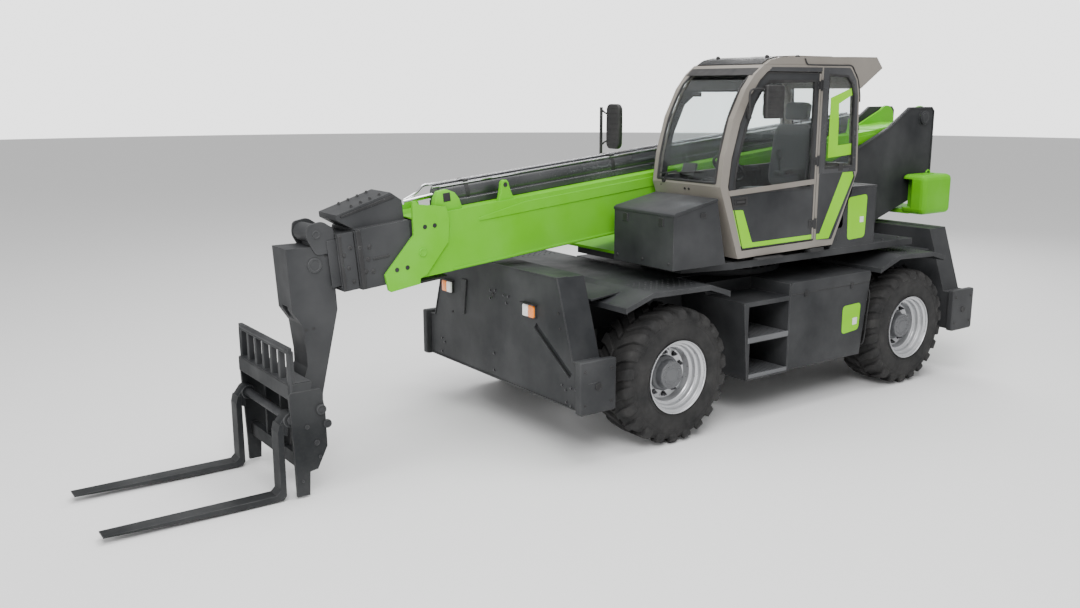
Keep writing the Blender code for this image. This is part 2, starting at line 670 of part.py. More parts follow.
def console():
    """Instrument console with the steering column."""
    outline = [(0.50, 1.545), (0.74, 1.545), (0.93, 2.05), (0.86, 2.12), (0.70, 2.05), (0.62, 1.90)]
    obj = finish("steering_console", prism(outline, 0.45, 1.0), TRIM, TURRET)
    column = rod_between((0.72, 0.73, 2.00), (0.52, 0.73, 2.21), 0.03, 12)
    wheel = rod_between((0.530, 0.73, 2.20), (0.512, 0.73, 2.219), 0.17, 20)
    return weld(obj, column, wheel)


def left_mirror():
    """Mirror on a tube arm at the front of the door."""
    obj = finish("mirror_left", block((0.405, 1.178, 2.655), (0.625, 1.245, 2.932), 0.018), BLACK, DOOR)
    arm = rod_between((0.58, 1.205, 2.892), (0.795, 1.205, 2.885), 0.010, 8)
    stem = rod_between((0.795, 1.205, 2.890), (0.765, 1.175, 2.70), 0.010, 8)
    foot = block((0.742, CAB_LEFT + GAP, 2.66), (0.782, 1.185, 2.74))
    return weld(obj, arm, stem, foot)


def right_mirror():
    """Mirror on a pole bolted to the side of the engine hood."""
    pole_x, pole_y = 0.436, -1.19
    pole = rod_between((pole_x, pole_y, 1.66), (pole_x, pole_y, 2.715), 0.016, 10)
    obj = finish("mirror_right", pole, BLACK, TURRET)
    head = block((0.360, -1.140, 2.295), (0.410, -0.940, 2.745), 0.015)
    arms = [rod_between((pole_x, pole_y, z), (0.385, -1.12, z), 0.011, 8) for z in (2.36, 2.66)]
    foot = block((0.34, -1.205, 1.64), (0.45, HOOD_RIGHT - GAP, 1.74))
    return weld(obj, *arms, head, foot)


# ------------------------------------------------------------------------ boom
def tube(name, half_width, low, high, rear, front, wall, paint, body):
    """A square section with open ends."""
    obj = finish(name, boom_shape(block((rear, -half_width, low), (front, half_width, high))), paint, body)
    inside = boom_shape(block((rear - 0.1, -half_width + wall, low + wall),
        (front + 0.1, half_width - wall, high - wall)))
    return cut(obj, inside)


def base_section():
    half = BOOM_WIDTH / 2
    obj = tube("boom_base_section", half, BOOM_LOW, BOOM_HIGH, 0.10, BOOM_FRONT, WALL, LIME, BOOM)
    head = [
        (6.08, -0.10), (6.10, 0.0), (6.34, 0.055), (6.36, 0.085), (6.39, 0.085), (6.40, -0.03),
        (6.41, -0.175),
        (6.69, -0.435), (6.675, -0.560), (6.655, -0.575), (6.40, -0.562), (6.39, -0.52), (6.33, -0.50),
        (6.11, -0.28),
    ]
    cheeks = [boom_shape(prism(head, s * half - s * 0.0015, s * (half + 0.022))) for s in (1, -1)]
    heel = [(0.35, BOOM_HIGH - 0.02), (0.35, BOOM_LOW + 0.02), (-0.02, -0.36), (-0.13, -0.12), (-0.13, 0.0)]
    heel += arc((0.0, 0.0), 0.13, 180, 45, 6) + [(0.60, BOOM_HIGH - 0.02)]
    heels = [boom_shape(prism(heel, s * half - s * WALL * 0.9, s * (half + 0.018))) for s in (1, -1)]
    eye_local = WORLD["boom"].inverted() @ Vector((CYLINDER_EYE[0], BOOM_Y, CYLINDER_EYE[1]))
    lugs = []
    for s in (1, -1):
        outline = [(eye_local.x - 0.16, BOOM_LOW + 0.005), (eye_local.x - 0.07, eye_local.z - 0.02)]
        outline += arc((eye_local.x, eye_local.z), 0.07, 200, 340, 6)
        outline += [(eye_local.x + 0.16, BOOM_LOW + 0.005)]
        lugs.append(boom_shape(prism(outline, s * 0.075, s * 0.105)))
    lifting = [(5.426, BOOM_HIGH - 0.01), (5.584, BOOM_HIGH - 0.01), (5.530, 0.115), (5.480, 0.115)]
    lifting_lug = boom_shape(prism(lifting, 0.16, 0.185))
    return weld(obj, *cheeks, *heels, *lugs, lifting_lug)


def hose_tray():
    """Round-topped hose and cylinder housing along the boom's top."""
    low = BOOM_HIGH + GAP
    outline = [(-0.10, low), (-0.10, 0.075), (-0.08, 0.125), (-0.04, 0.155), (0.04, 0.155), (0.08, 0.125),
               (0.10, 0.075), (0.10, low)]
    bm = prism([(y - 0.02, z) for y, z in outline], 0.85, 6.05, "x")
    return finish("hose_tray", boom_shape(bm), CHARCOAL, BOOM)


def section_2():
    half = BOOM_WIDTH / 2 - WALL - 0.010
    low, high = BOOM_LOW + WALL + 0.010, BOOM_HIGH - WALL - 0.010
    obj = tube("boom_section_2", half, low, high, 0.30, 6.885, 0.010, CHARCOAL, SECTION_2)
    collar = boom_shape(block((6.425, -0.209, -0.515), (6.875, 0.209, -0.052)))
    hole = boom_shape(block((6.30, -half + 0.010, low + 0.010), (7.0, half - 0.010, high - 0.010)))
    hood = [(6.44, -0.06), (6.44, 0.10), (6.53, 0.173), (6.99, 0.072), (6.99, 0.03), (6.86, -0.06)]
    cover = boom_shape(prism(hood, -0.16, 0.16))
    weld(obj, collar, cover)
    return cut(obj, hole)


def section_3():
    half = BOOM_WIDTH / 2 - 2 * (WALL + 0.010) + 0.002
    low, high = BOOM_LOW + 2 * (WALL + 0.010) - 0.002, BOOM_HIGH - 2 * (WALL + 0.010) + 0.002
    obj = tube("boom_section_3", half, low, high, 0.35, 7.022, 0.010, CHARCOAL, SECTION_3)
    collar = boom_shape(block((6.893, -0.195, -0.503), (7.018, 0.195, -0.066)))
    hole = boom_shape(block((6.60, -half + 0.010, low + 0.010), (7.2, half - 0.010, high - 0.010)))
    weld(obj, collar)
    return cut(obj, hole)


def section_4():
    """Innermost section, with the fixed gooseneck arm at its head."""
    half = BOOM_WIDTH / 2 - 3 * (WALL + 0.010) + 0.004
    low, high = BOOM_LOW + 3 * (WALL + 0.010) - 0.004, BOOM_HIGH - 3 * (WALL + 0.010) + 0.004
    obj = tube("boom_section_4", half, low, high, 0.40, 7.09, 0.010, CHARCOAL, SECTION_4)
    arm = [
        (4.440, 1.765), (4.090, 1.765), (4.075, 1.740), (4.062, 1.460), (4.052, 1.275), (4.200, 0.640),
        (4.205, 0.46),
    ]
    # The front edge steps back low down, so the carriage's beam has room when the forks tilt up.
    arm += arc(TILT_PIN, 0.085, 225, 315, 4)
    arm += [(4.345, 0.62), (4.345, 0.77), (4.312, 0.86), (4.312, 0.96), (4.340, 1.19), (4.412, 1.30)]
    jib = prism(arm, BOOM_Y - 0.13, BOOM_Y + 0.13)
    roller = boom_shape(rod_between((7.16, -0.12, -0.045), (7.16, 0.12, -0.045), 0.065, 20))
    bracket = boom_shape(block((7.05, -0.10, -0.19), (7.18, 0.10, -0.05)))
    weld(obj, jib, roller, bracket)
    slot = block((4.36, BOOM_Y - 0.05, 1.13), (4.50, BOOM_Y + 0.05, 1.325))
    return cut(obj, slot)


# ------------------------------------------------------------ carriage and forks
def carriage():
    """Frame that tilts at the gooseneck's foot: two cheeks, beams, fork shaft and load backrest."""
    y = 0.50
    cheek = [
        (4.365, 0.76), (4.345, 0.62), (4.34, 0.36), (4.42, 0.20), (4.48, 0.19), (4.49, 0.015), (4.585, 0.015),
        (4.590, 0.20), (4.615, 0.78), (4.600, 0.80), (4.38, 0.80),
    ]
    obj = finish("fork_carriage", prism(cheek, BOOM_Y + y - 0.025, BOOM_Y + y), CHARCOAL, CARRIAGE)
    parts = [prism(cheek, BOOM_Y - y, BOOM_Y - y + 0.025)]
    parts.append(block((4.44, BOOM_Y - y + 0.005, 0.755), (4.62, BOOM_Y + y - 0.005, 0.86)))
    parts.append(block((4.50, BOOM_Y - y + 0.005, 0.22), (4.56, BOOM_Y + y - 0.005, 0.32)))
    parts.append(rod_between((4.60, BOOM_Y - y + 0.01, 0.60), (4.60, BOOM_Y + y - 0.01, 0.60), 0.030, 12))
    hanger = [(4.215, 0.52), (4.27, 0.60), (4.50, 0.78), (4.55, 0.78), (4.55, 0.26), (4.50, 0.26),
        (4.27, 0.43)]
    for s in (1, -1):
        parts.append(prism(hanger, BOOM_Y + s * 0.138, BOOM_Y + s * 0.165))
    parts += backrest(y)
    return weld(obj, *parts)


def backrest(y):
    """Load backrest: a bar frame with seven uprights."""
    bars = [block((4.575, BOOM_Y - y + 0.004, 1.08), (4.605, BOOM_Y + y - 0.004, 1.125))]
    for i in range(7):
        middle = BOOM_Y - y + 0.03 + i * (2 * y - 0.06) / 6
        bars.append(block((4.580, middle - 0.018, 0.85), (4.602, middle + 0.018, 1.09)))
    return bars


def fork(name, side):
    """An L-shaped tine with an eye on the fork shaft."""
    y = BOOM_Y + side * FORK_Y
    heel, tip = FORK_HEEL_X, FORK_TIP_X
    low, thick = 0.012, 0.045
    top = low + thick
    outline = [
        (heel, low + 0.03), (heel + 0.025, low), (heel + 0.35, low), (tip, top - 0.010), (tip, top),
        (heel + 0.075, top), (heel + 0.045, top + 0.03), (heel + 0.045, 0.52), (heel + 0.030, 0.58),
        (heel, 0.58),
    ]
    bm = prism(outline, y - 0.06, y + 0.06)
    return finish(name, bm, CHARCOAL, CARRIAGE)


# -------------------------------------------------------------- lift cylinder
def lift_cylinder():
    base = Vector((CYLINDER_BASE[0], BOOM_Y, CYLINDER_BASE[1]))
    eye = Vector((CYLINDER_EYE[0], BOOM_Y, CYLINDER_EYE[1]))
    along = (eye - base).normalized()
    length = (eye - base).length
    turn = along.to_track_quat("Z", "Y").to_matrix().to_4x4()
    place = Matrix.Translation(base) @ turn
    mouth = length - 0.42
    barrel = closed_barrel(mouth)
    barrel.transform(place)
    obj = finish("lift_cylinder_barrel", barrel, CHARCOAL, BARREL)
    weld(obj, rod_between(base - Vector((0, 0.070, 0)), base + Vector((0, 0.070, 0)), 0.075, 20))
    rod = turned([(0.0, 0.36), (0.050, 0.36), (0.050, length - 0.03), (0.0, length - 0.03)], (0, 0, 0), "z",
        20)
    rod.transform(place)
    made = finish("lift_cylinder_rod", rod, CHROME, ROD)
    weld(made, rod_between(eye - Vector((0, 0.070, 0)), eye + Vector((0, 0.070, 0)), 0.060, 20))


def closed_barrel(mouth):
    """Barrel with a blind bore for the rod."""
    return turned(
        [(0.0, 0.03), (0.060, 0.03), (0.080, 0.08), (0.080, mouth), (0.0505, mouth), (0.0505, 0.34),
            (0.0, 0.34)],
        (0, 0, 0), "z", 24,
    )


# -------------------------------------------------------------------- assembly
def build():
    chassis_frame()
    axle("front_axle", WHEEL_X)
    axle("rear_axle", -WHEEL_X)
    for corner, x, side in (
        ("front_left", WHEEL_X, 1), ("front_right", WHEEL_X, -1),
        ("rear_left", -WHEEL_X, 1), ("rear_right", -WHEEL_X, -1),
    ):
        wheel_end(corner, x, side)
    deck("front_deck", 1, FRONT_FOLDS)
    deck("rear_deck", -1, REAR_FOLDS)
    outrigger_box("front_outrigger_box", FRONT_BOX_X, 1)
    outrigger_box("rear_outrigger_box", REAR_BOX_X, -1)
    outrigger_leg("front_left", FRONT_BOX_X, 1, True)
    outrigger_leg("front_right", FRONT_BOX_X, -1, False)
    outrigger_leg("rear_left", REAR_BOX_X, 1, False)
    outrigger_leg("rear_right", REAR_BOX_X, -1, True)
    tank_box("tank_left", 1)
    tank_box("tank_right", -1)
    step_unit()
    tool_box()
    turret_frame()
    counterweight()
    side_housing()
    front_box()
    engine_hood()
    engine_block()
    cab_frame()
    cab_roof()
    windscreen()
    quarter_window()
    right_window()
    rear_window()
    door()
    seat()
    console()
    left_mirror()
    right_mirror()
    base_section()
    hose_tray()
    section_2()
    section_3()
    section_4()
    carriage()
    fork("fork_left", 1)
    fork("fork_right", -1)
    lift_cylinder()
    VEHICLE.location.x = ORIGIN_X


build()
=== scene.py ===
"""Looks of the rotating telehandler: materials, tyres, cab interior, panels, lamps, light and camera.

Shapes are drawn from the middle of the wheelbase, as in the side view. SHIFT moves them into the model's
frame. Pieces with local=BOOM are drawn along the boom, from its pivot.
"""

import json
import math

import bmesh
import bpy
from mathutils import Matrix, Vector


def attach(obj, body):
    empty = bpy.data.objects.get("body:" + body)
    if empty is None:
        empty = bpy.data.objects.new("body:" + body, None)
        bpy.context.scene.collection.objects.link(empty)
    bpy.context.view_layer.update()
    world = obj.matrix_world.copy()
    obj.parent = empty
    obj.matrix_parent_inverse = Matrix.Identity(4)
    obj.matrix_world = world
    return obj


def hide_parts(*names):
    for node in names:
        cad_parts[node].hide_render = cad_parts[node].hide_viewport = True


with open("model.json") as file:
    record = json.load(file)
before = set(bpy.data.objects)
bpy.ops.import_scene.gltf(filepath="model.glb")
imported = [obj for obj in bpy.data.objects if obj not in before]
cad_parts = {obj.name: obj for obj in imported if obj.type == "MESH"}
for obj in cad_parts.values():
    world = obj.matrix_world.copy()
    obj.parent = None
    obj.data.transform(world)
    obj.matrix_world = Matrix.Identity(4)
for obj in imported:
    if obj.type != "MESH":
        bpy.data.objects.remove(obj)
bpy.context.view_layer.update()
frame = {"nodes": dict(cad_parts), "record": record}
NODES = frame["nodes"]

SHIFT = Matrix.Translation((-1.4, 0, 0))
BOOM_Y = 0.03
BOOM_HALF = 0.215
PIVOT_X, PIVOT_Z = -2.92, 2.582
BOOM_DROP = math.radians(5.465)
BOOM = Matrix.Translation((PIVOT_X, BOOM_Y, PIVOT_Z)) @ Matrix.Rotation(BOOM_DROP, 4, "Y")
PLATE_SIDE = 0.275
SIDES = ((1, "left"), (-1, "right"))
CORNERS = (("front_left", 1.55, 1), ("front_right", 1.55, -1), ("rear_left", -1.55, 1),
    ("rear_right", -1.55, -1))
WHEEL_Z = 0.575
WHEEL_Y = 1.025
TREAD_LUGS = 22
KINGPIN_REACH = 0.166 * 0.93
SEAT_Y = 0.73
FLOOR_RADIUS = 60
DOOR_SIDE = 1.16
HINGE_X = -0.15


# ----------------------------------------------------------------------------------------------- materials
class Paint:
    """A Principled material with a few helpers for its node graph."""

    def __init__(self, name, colour, roughness, metallic=0.0, **sockets):
        self.material = bpy.data.materials.new(name)
        self.material.use_nodes = True
        self.tree = self.material.node_tree
        self.shader = self.tree.nodes["Principled BSDF"]
        self.shader.inputs["Base Color"].default_value = (*colour, 1)
        self.shader.inputs["Roughness"].default_value = roughness
        self.shader.inputs["Metallic"].default_value = metallic
        for label, value in sockets.items():
            self.shader.inputs[label.replace("_", " ")].default_value = value
        self.normal = None
        self.place = self.node("ShaderNodeTexCoord").outputs["Object"]

    def node(self, kind, settings=None, **inputs):
        made = self.tree.nodes.new(kind)
        for key, value in (settings or {}).items():
            setattr(made, key, value)
        for label, value in inputs.items():
            numbered = label[0] == "i" and label[1:].isdigit()
            target = made.inputs[int(label[1:]) if numbered else label.replace("_", " ")]
            if isinstance(value, bpy.types.NodeSocket):
                self.tree.links.new(value, target)
            else:
                target.default_value = value
        return made

    def noise(self, scale, detail=3.0, stretch=None):
        place = self.place
        if stretch:
            place = self.node("ShaderNodeMapping", Vector=place, Scale=stretch).outputs[0]
        return self.node("ShaderNodeTexNoise", Vector=place, Scale=scale, Detail=detail).outputs[0]

    def spread(self, value, low, high, start=0.3, end=0.7):
        return self.node("ShaderNodeMapRange", i0=value, i1=start, i2=end, i3=low, i4=high).outputs[0]

    def mix(self, amount, one, two):
        made = self.node("ShaderNodeMix", {"data_type": "RGBA"})
        for index, value in ((0, amount), (6, one), (7, two)):
            if isinstance(value, bpy.types.NodeSocket):
                self.tree.links.new(value, made.inputs[index])
            else:
                made.inputs[index].default_value = value if index == 0 else (*value, 1)
        return made.outputs[2]

    def set(self, label, value):
        self.tree.links.new(value, self.shader.inputs[label])

    def bump(self, height, strength, distance):
        made = self.node("ShaderNodeBump", Height=height, Strength=strength, Distance=distance)
        if self.normal is not None:
            self.tree.links.new(self.normal, made.inputs["Normal"])
        self.normal = made.outputs[0]
        self.set("Normal", self.normal)

    def rounded(self, radius):
        """Rounds sharp edges as the light sees them, and returns how near a surface point is to an edge."""
        round_normal = self.node("ShaderNodeBevel", {"samples": 4}, Radius=radius).outputs[0]
        flat = self.node("ShaderNodeNewGeometry").outputs["Normal"]
        dot = self.node("ShaderNodeVectorMath", {"operation": "DOT_PRODUCT"}, i0=round_normal,
            i1=flat).outputs["Value"]
        self.normal = round_normal
        return self.node("ShaderNodeMapRange", i0=dot, i1=0.995, i2=0.86, i3=0.0, i4=1.0).outputs[0]


def mixed(colour, other, amount):
    """One colour moved part of the way to another."""
    return tuple((a + (b - a) * amount for a, b in zip(colour, other)))


def coat(name, colour, roughness, peel=0.1, edge_highlight=0.35, dust=0.1, edge=0.006, **sockets):
    """Sprayed paint: slow tone changes, orange peel, a painted highlight along the edges and a little dust
    low down.
    """
    paint = Paint(name, colour, roughness, **sockets)
    near_edge = paint.rounded(edge)
    tone = paint.mix(paint.spread(paint.noise(1.7, 4), 0, 1), mixed(colour, (0, 0, 0), 0.1),
        mixed(colour, (1, 1, 1), 0.035))
    speckle = paint.spread(paint.noise(38, 4), 0, 1, 0.45, 0.75)
    height = paint.node("ShaderNodeSeparateXYZ", Vector=paint.place).outputs[2]
    low = paint.node("ShaderNodeMath", {"operation": "MULTIPLY"},
        i0=paint.spread(height, dust, 0.0, 0.1, 1.3), i1=speckle)
    dusty = paint.mix(low.outputs[0], tone, (0.32, 0.29, 0.25))
    # Painted highlight: the colour is lightened towards pale grey near the edges, standing in for light
    # caught on the rounded edges.
    edge_highlight_mask = paint.node("ShaderNodeMath", {"operation": "MULTIPLY"}, i0=near_edge,
        i1=paint.spread(paint.noise(9, 5), edge_highlight * 0.2, edge_highlight))
    edged = paint.mix(edge_highlight_mask.outputs[0], dusty, mixed(colour, (0.75, 0.75, 0.75), 0.45))
    paint.set("Base Color", edged)
    paint.set("Roughness", paint.spread(paint.noise(5, 5), roughness - 0.06, roughness + 0.08))
    paint.bump(paint.noise(260, 2), peel, 0.0006)
    return paint.material


def rubber(name, colour, roughness, grain=120.0):
    """Rubber or moulded plastic: mottled tone and a fine grain."""
    paint = Paint(name, colour, roughness)
    tone = paint.mix(paint.spread(paint.noise(6, 5), 0, 1), mixed(colour, (0, 0, 0), 0.3),
        mixed(colour, (0.16, 0.15, 0.14), 0.1))
    paint.set("Base Color", tone)
    paint.set("Roughness", paint.spread(paint.noise(22, 4), roughness - 0.08, min(1.0, roughness + 0.08)))
    paint.bump(paint.noise(grain, 4), 0.35, 0.0012)
    return paint.material


def metal(name, colour, roughness, stretch=(1, 1, 1), scale=60.0, metallic=1.0):
    """Bare or plated metal, with its streaks along stretch."""
    paint = Paint(name, colour, roughness, metallic)
    paint.rounded(0.002)
    paint.set("Base Color",
        paint.mix(paint.spread(paint.noise(12, 4), 0, 1), mixed(colour, (0, 0, 0), 0.12), colour))
    paint.set("Roughness", paint.spread(paint.noise(scale, 4, stretch), roughness * 0.7, roughness * 1.4))
    paint.bump(paint.noise(scale * 2, 3, stretch), 0.12, 0.0004)
    return paint.material


def fabric(name, colour):
    """Woven seat cloth: two crossed fine waves with a soft sheen."""
    paint = Paint(name, colour, 0.9, Sheen_Weight=0.25)
    waves = []
    for axis in ("X", "Z"):
        waves.append(paint.node("ShaderNodeTexWave", {"bands_direction": axis}, Vector=paint.place,
            Scale=140.0, Distortion=1.0).outputs["Fac"])
    weave = paint.node("ShaderNodeMath", {"operation": "MAXIMUM"}, i0=waves[0], i1=waves[1]).outputs[0]
    paint.set("Base Color",
        paint.mix(weave, mixed(colour, (0, 0, 0), 0.45), mixed(colour, (1, 1, 1), 0.06)))
    paint.bump(weave, 0.5, 0.0008)
    return paint.material


def glass(name, colour, roughness=0.02):
    """Clear glass with a faint waviness."""
    paint = Paint(name, colour, roughness, 0.0, Transmission_Weight=1.0, IOR=1.25)
    paint.bump(paint.noise(2.5, 2), 0.02, 0.002)
    return paint.material


def lamp_glass(name, colour):
    """Ribbed lens over a bright reflector."""
    paint = Paint(name, colour, 0.12, 0.0, Coat_Weight=0.8, Emission_Strength=0.25)
    paint.shader.inputs["Emission Color"].default_value = (*colour, 1)
    ribs = paint.node("ShaderNodeTexWave", {"bands_direction": "Y"}, Vector=paint.place,
        Scale=60.0).outputs["Fac"]
    paint.set("Base Color", paint.mix(paint.spread(ribs, 0, 1, 0, 1), mixed(colour, (0, 0, 0), 0.25),
        colour))
    paint.bump(ribs, 0.6, 0.002)
    return paint.material


# ------------------------------------------------------------------------------------------------ finishes
# In each coat below, the edge amount sets the painted highlight along its edges.
LIME = coat("lime_paint_finish", (0.122, 0.49, 0.0), 0.45, edge_highlight=0.08, dust=0.0, Specular_IOR_Level=0.07)
CHARCOAL = coat("charcoal_paint_finish", (0.0215, 0.0228, 0.025), 0.52, peel=0.12, edge_highlight=0.2, dust=0.02,
    Specular_IOR_Level=0.16)
CHARCOAL_GLOSS = coat("charcoal_gloss_finish", (0.022, 0.023, 0.026), 0.24, peel=0.05, edge_highlight=0.1, dust=0.0)
DARK = coat("black_paint_finish", (0.0075, 0.0075, 0.0085), 0.5, edge_highlight=0.2, dust=0.02,
    Specular_IOR_Level=0.22)
BEIGE = coat("cab_paint_finish", (0.2, 0.18, 0.155), 0.42, edge_highlight=0.1, dust=0.0, Coat_Weight=0.1)
STEEL_EDGE = coat("fork_steel_finish", (0.012, 0.0135, 0.015), 0.5, edge_highlight=0.25, dust=0.02, edge=0.008,
    Specular_IOR_Level=0.12)
RIM_SILVER = metal("wheel_silver_finish", (0.55, 0.555, 0.57), 0.36, metallic=0.7)
HUB_GREY = coat("hub_grey_finish", (0.085, 0.088, 0.094), 0.42, dust=0.02)
BOLT = metal("bolt_finish", (0.1, 0.1, 0.105), 0.38, scale=90)
ZINC = metal("zinc_finish", (0.52, 0.52, 0.5), 0.36, scale=90)
CHROME = metal("chrome_finish", (0.82, 0.82, 0.84), 0.1, (1, 1, 12), 40)
IRON = metal("engine_iron_finish", (0.13, 0.13, 0.13), 0.55, metallic=0.6)
TYRE = rubber("tyre_rubber_finish", (0.0085, 0.0085, 0.009), 0.82)
SEAL = rubber("seal_rubber_finish", (0.01, 0.01, 0.011), 0.62, 300)
TRIM = rubber("cab_trim_finish", (0.016, 0.0165, 0.018), 0.72, 420)
LINER = rubber("headliner_finish", (0.024, 0.0235, 0.023), 0.9, 500)
CLOTH = fabric("seat_cloth_finish", (0.011, 0.0115, 0.013))
GLASS = glass("window_glass_finish", (0.8, 0.84, 0.84))
MIRROR = metal("mirror_glass_finish", (0.75, 0.77, 0.78), 0.04)
LAMP_WHITE = lamp_glass("lamp_white_finish", (0.85, 0.85, 0.82))
LAMP_AMBER = lamp_glass("lamp_amber_finish", (0.95, 0.24, 0.008))
LAMP_RED = lamp_glass("lamp_red_finish", (0.6, 0.02, 0.02))
DECAL = coat("decal_lime_finish", (0.235, 0.64, 0.0), 0.45, edge_highlight=0.0, dust=0.0, edge=0.001,
    Specular_IOR_Level=0.05)
DECAL_WHITE = coat("decal_white_finish", (0.75, 0.78, 0.72), 0.3, edge_highlight=0.0, dust=0.0, edge=0.001)


# ------------------------------------------------------------------------------------------- shape helpers
SLOTS = {
    "lime_paint": (LIME, DECAL, DECAL_WHITE),
    "charcoal_paint": (CHARCOAL, CHARCOAL_GLOSS, STEEL_EDGE),
    "black_paint": (DARK, SEAL, BOLT, HUB_GREY),
    "cab_paint": (BEIGE,),
    "cab_trim": (TRIM, CLOTH, LINER),
    "cylinder_chrome": (CHROME, ZINC, MIRROR),
    "engine_iron": (IRON,),
    "wheel_silver": (RIM_SILVER,),
    "tyre_rubber": (TYRE,),
    "window_glass": (GLASS, LAMP_WHITE, LAMP_AMBER, LAMP_RED),
}


def usual_slot(material):
    """The first slot in SLOTS that lists this finish."""
    return next(slot for slot, finishes in SLOTS.items() if material in finishes)


def mm(*flat):
    """Pairs of coordinates in metres, from a flat row of millimetres."""
    return [(a / 1000, b / 1000) for a, b in zip(flat[::2], flat[1::2])]


def rect(a0, b0, a1, b1):
    """A rectangle's outline from two opposite corners, in millimetres."""
    return mm(a0, b0, a1, b0, a1, b1, a0, b1)


def piece(name, shapes, material, body="turret", slot=None, local=None, angle=35.0):
    """Turns shapes into one shown piece on a body. local places shapes drawn along the boom."""
    bm = join(*shapes) if isinstance(shapes, list) else shapes
    slot = slot or usual_slot(material)
    if local is not None:
        bm.transform(local)
    bm.transform(SHIFT)
    bmesh.ops.recalc_face_normals(bm, faces=bm.faces)
    mesh = bpy.data.meshes.new(name)
    bm.to_mesh(mesh)
    bm.free()
    mesh.materials.append(material)
    mesh.shade_smooth()
    mesh.set_sharp_from_angle(angle=math.radians(angle))
    obj = bpy.data.objects.new(name, mesh)
    bpy.context.collection.objects.link(obj)
    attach(obj, body)
    return obj


def span(s, near, far):
    """The two distances on side s, in rising order."""
    return sorted((s * near, s * far))


def around(count, radius, start=0.0):
    """Points evenly spaced on a circle."""
    turns = [2 * math.pi * (i + start) / count for i in range(count)]
    return [(radius * math.cos(a), radius * math.sin(a)) for a in turns]


def join(*shapes):
    """One bmesh that holds all the shapes."""
    whole = bmesh.new()
    for shape in shapes:
        spare = bpy.data.meshes.new("spare")
        shape.to_mesh(spare)
        shape.free()
        whole.from_mesh(spare)
        bpy.data.meshes.remove(spare)
    return whole


def soften(bm, width, segments=2, sharper=30.0):
    """Bevels the edges that turn by more than an angle."""
    edges = [e for e in bm.edges if e.is_manifold and e.calc_face_angle(0) > math.radians(sharper)]
    bmesh.ops.bevel(bm, geom=edges, offset=width, segments=segments, profile=0.5, affect="EDGES",
        clamp_overlap=True)
    return bm


def block(lo, hi, bevel=0.004, segments=2):
    """A box between two corners."""
    bm = bmesh.new()
    bmesh.ops.create_cube(bm, size=1)
    size = [hi[i] - lo[i] for i in range(3)]
    middle = [(hi[i] + lo[i]) / 2 for i in range(3)]
    bm.transform(Matrix.Translation(middle) @ Matrix.Diagonal((*size, 1)))
    return soften(bm, bevel, segments) if bevel else bm


def prism(outline, lo, hi, axis="y", bevel=0.0, segments=2):
    """A closed outline swept along an axis: (x, z) for y, (y, z) for x, (x, y) for z."""
    bm = bmesh.new()
    spread = {"y": lambda a, b, s: (a, s, b), "x": lambda a, b, s: (s, a, b), "z": lambda a, b,
        s: (a, b, s)}[axis]
    ends = [[bm.verts.new(spread(a, b, s)) for a, b in outline] for s in (lo, hi)]
    bm.faces.new(ends[0])
    bm.faces.new(ends[1])
    for i in range(len(outline)):
        j = (i + 1) % len(outline)
        bm.faces.new((ends[0][i], ends[0][j], ends[1][j], ends[1][i]))
    bmesh.ops.recalc_face_normals(bm, faces=bm.faces)
    return soften(bm, bevel, segments) if bevel else bm


def rounded_outline(points, radius, steps=4):
    """The outline with its corners rounded."""
    found = []
    count = len(points)
    for i in range(count):
        here = Vector(points[i])
        before, after = Vector(points[i - 1]) - here, Vector(points[(i + 1) % count]) - here
        reach = min(radius, before.length * 0.45, after.length * 0.45)
        start, end = here + before.normalized() * reach, here + after.normalized() * reach
        for step in range(steps + 1):
            t = step / steps
            found.append(tuple(start * (1 - t) ** 2 + here * 2 * t * (1 - t) + end * t ** 2))
    return found


def turned(profile, centre, axis="y", steps=32, side=1):
    """Sweeps (radius, along) points round an axis. The profile starts and ends on the axis, or closes."""
    bm = bmesh.new()
    rings = []
    for radius, along in profile:
        if radius < 1e-06:
            rings.append([bm.verts.new((0, 0, along * side))])
            continue
        rings.append([bm.verts.new((radius * math.cos(a), radius * math.sin(a), along * side))
            for a in (2 * math.pi * i / steps for i in range(steps))])
    pairs = list(zip(rings, rings[1:]))
    if len(rings[0]) > 1:
        pairs.append((rings[-1], rings[0]))
    for one, two in pairs:
        for i in range(steps):
            j = (i + 1) % steps
            if len(one) == 1:
                bm.faces.new((one[0], two[i], two[j]))
            elif len(two) == 1:
                bm.faces.new((one[i], two[0], one[j]))
            else:
                bm.faces.new((one[i], two[i], two[j], one[j]))
    turn = {"x": Matrix.Rotation(math.pi / 2, 4, "Y"), "y": Matrix.Rotation(-math.pi / 2, 4, "X"),
        "z": Matrix.Identity(4)}[axis]
    bm.transform(Matrix.Translation(centre) @ turn)
    bmesh.ops.recalc_face_normals(bm, faces=bm.faces)
    return bm


def rod(start, end, radius, steps=12, bevel=0.0):
    """A cylinder between two points."""
    start, end = Vector(start), Vector(end)
    bm = bmesh.new()
    bmesh.ops.create_cone(bm, cap_ends=True, segments=steps, radius1=radius, radius2=radius,
        depth=(end - start).length)
    bm.transform(Matrix.Translation((start + end) / 2) @ (end - start).to_track_quat("Z",
        "Y").to_matrix().to_4x4())
    return soften(bm, bevel, 2, 50) if bevel else bm


def bolt(place, direction, radius=0.014, height=0.01, washer=True):
    """Hexagon head with its washer and a domed top, standing on a surface."""
    place, direction = Vector(place), Vector(direction).normalized()
    head = bmesh.new()
    bmesh.ops.create_cone(head, cap_ends=True, segments=6, radius1=radius, radius2=radius * 0.96,
        depth=height)
    soften(head, radius * 0.12, 1, 40)
    head.transform(Matrix.Translation((0, 0, height / 2 + 0.002)))
    parts = [head]
    if washer:
        ring = bmesh.new()
        bmesh.ops.create_cone(ring, cap_ends=True, segments=16, radius1=radius * 1.35, radius2=radius * 1.3,
            depth=0.004)
        parts.append(ring)
    bm = join(*parts)
    bm.transform(Matrix.Translation(place) @ direction.to_track_quat("Z", "Y").to_matrix().to_4x4())
    return bm


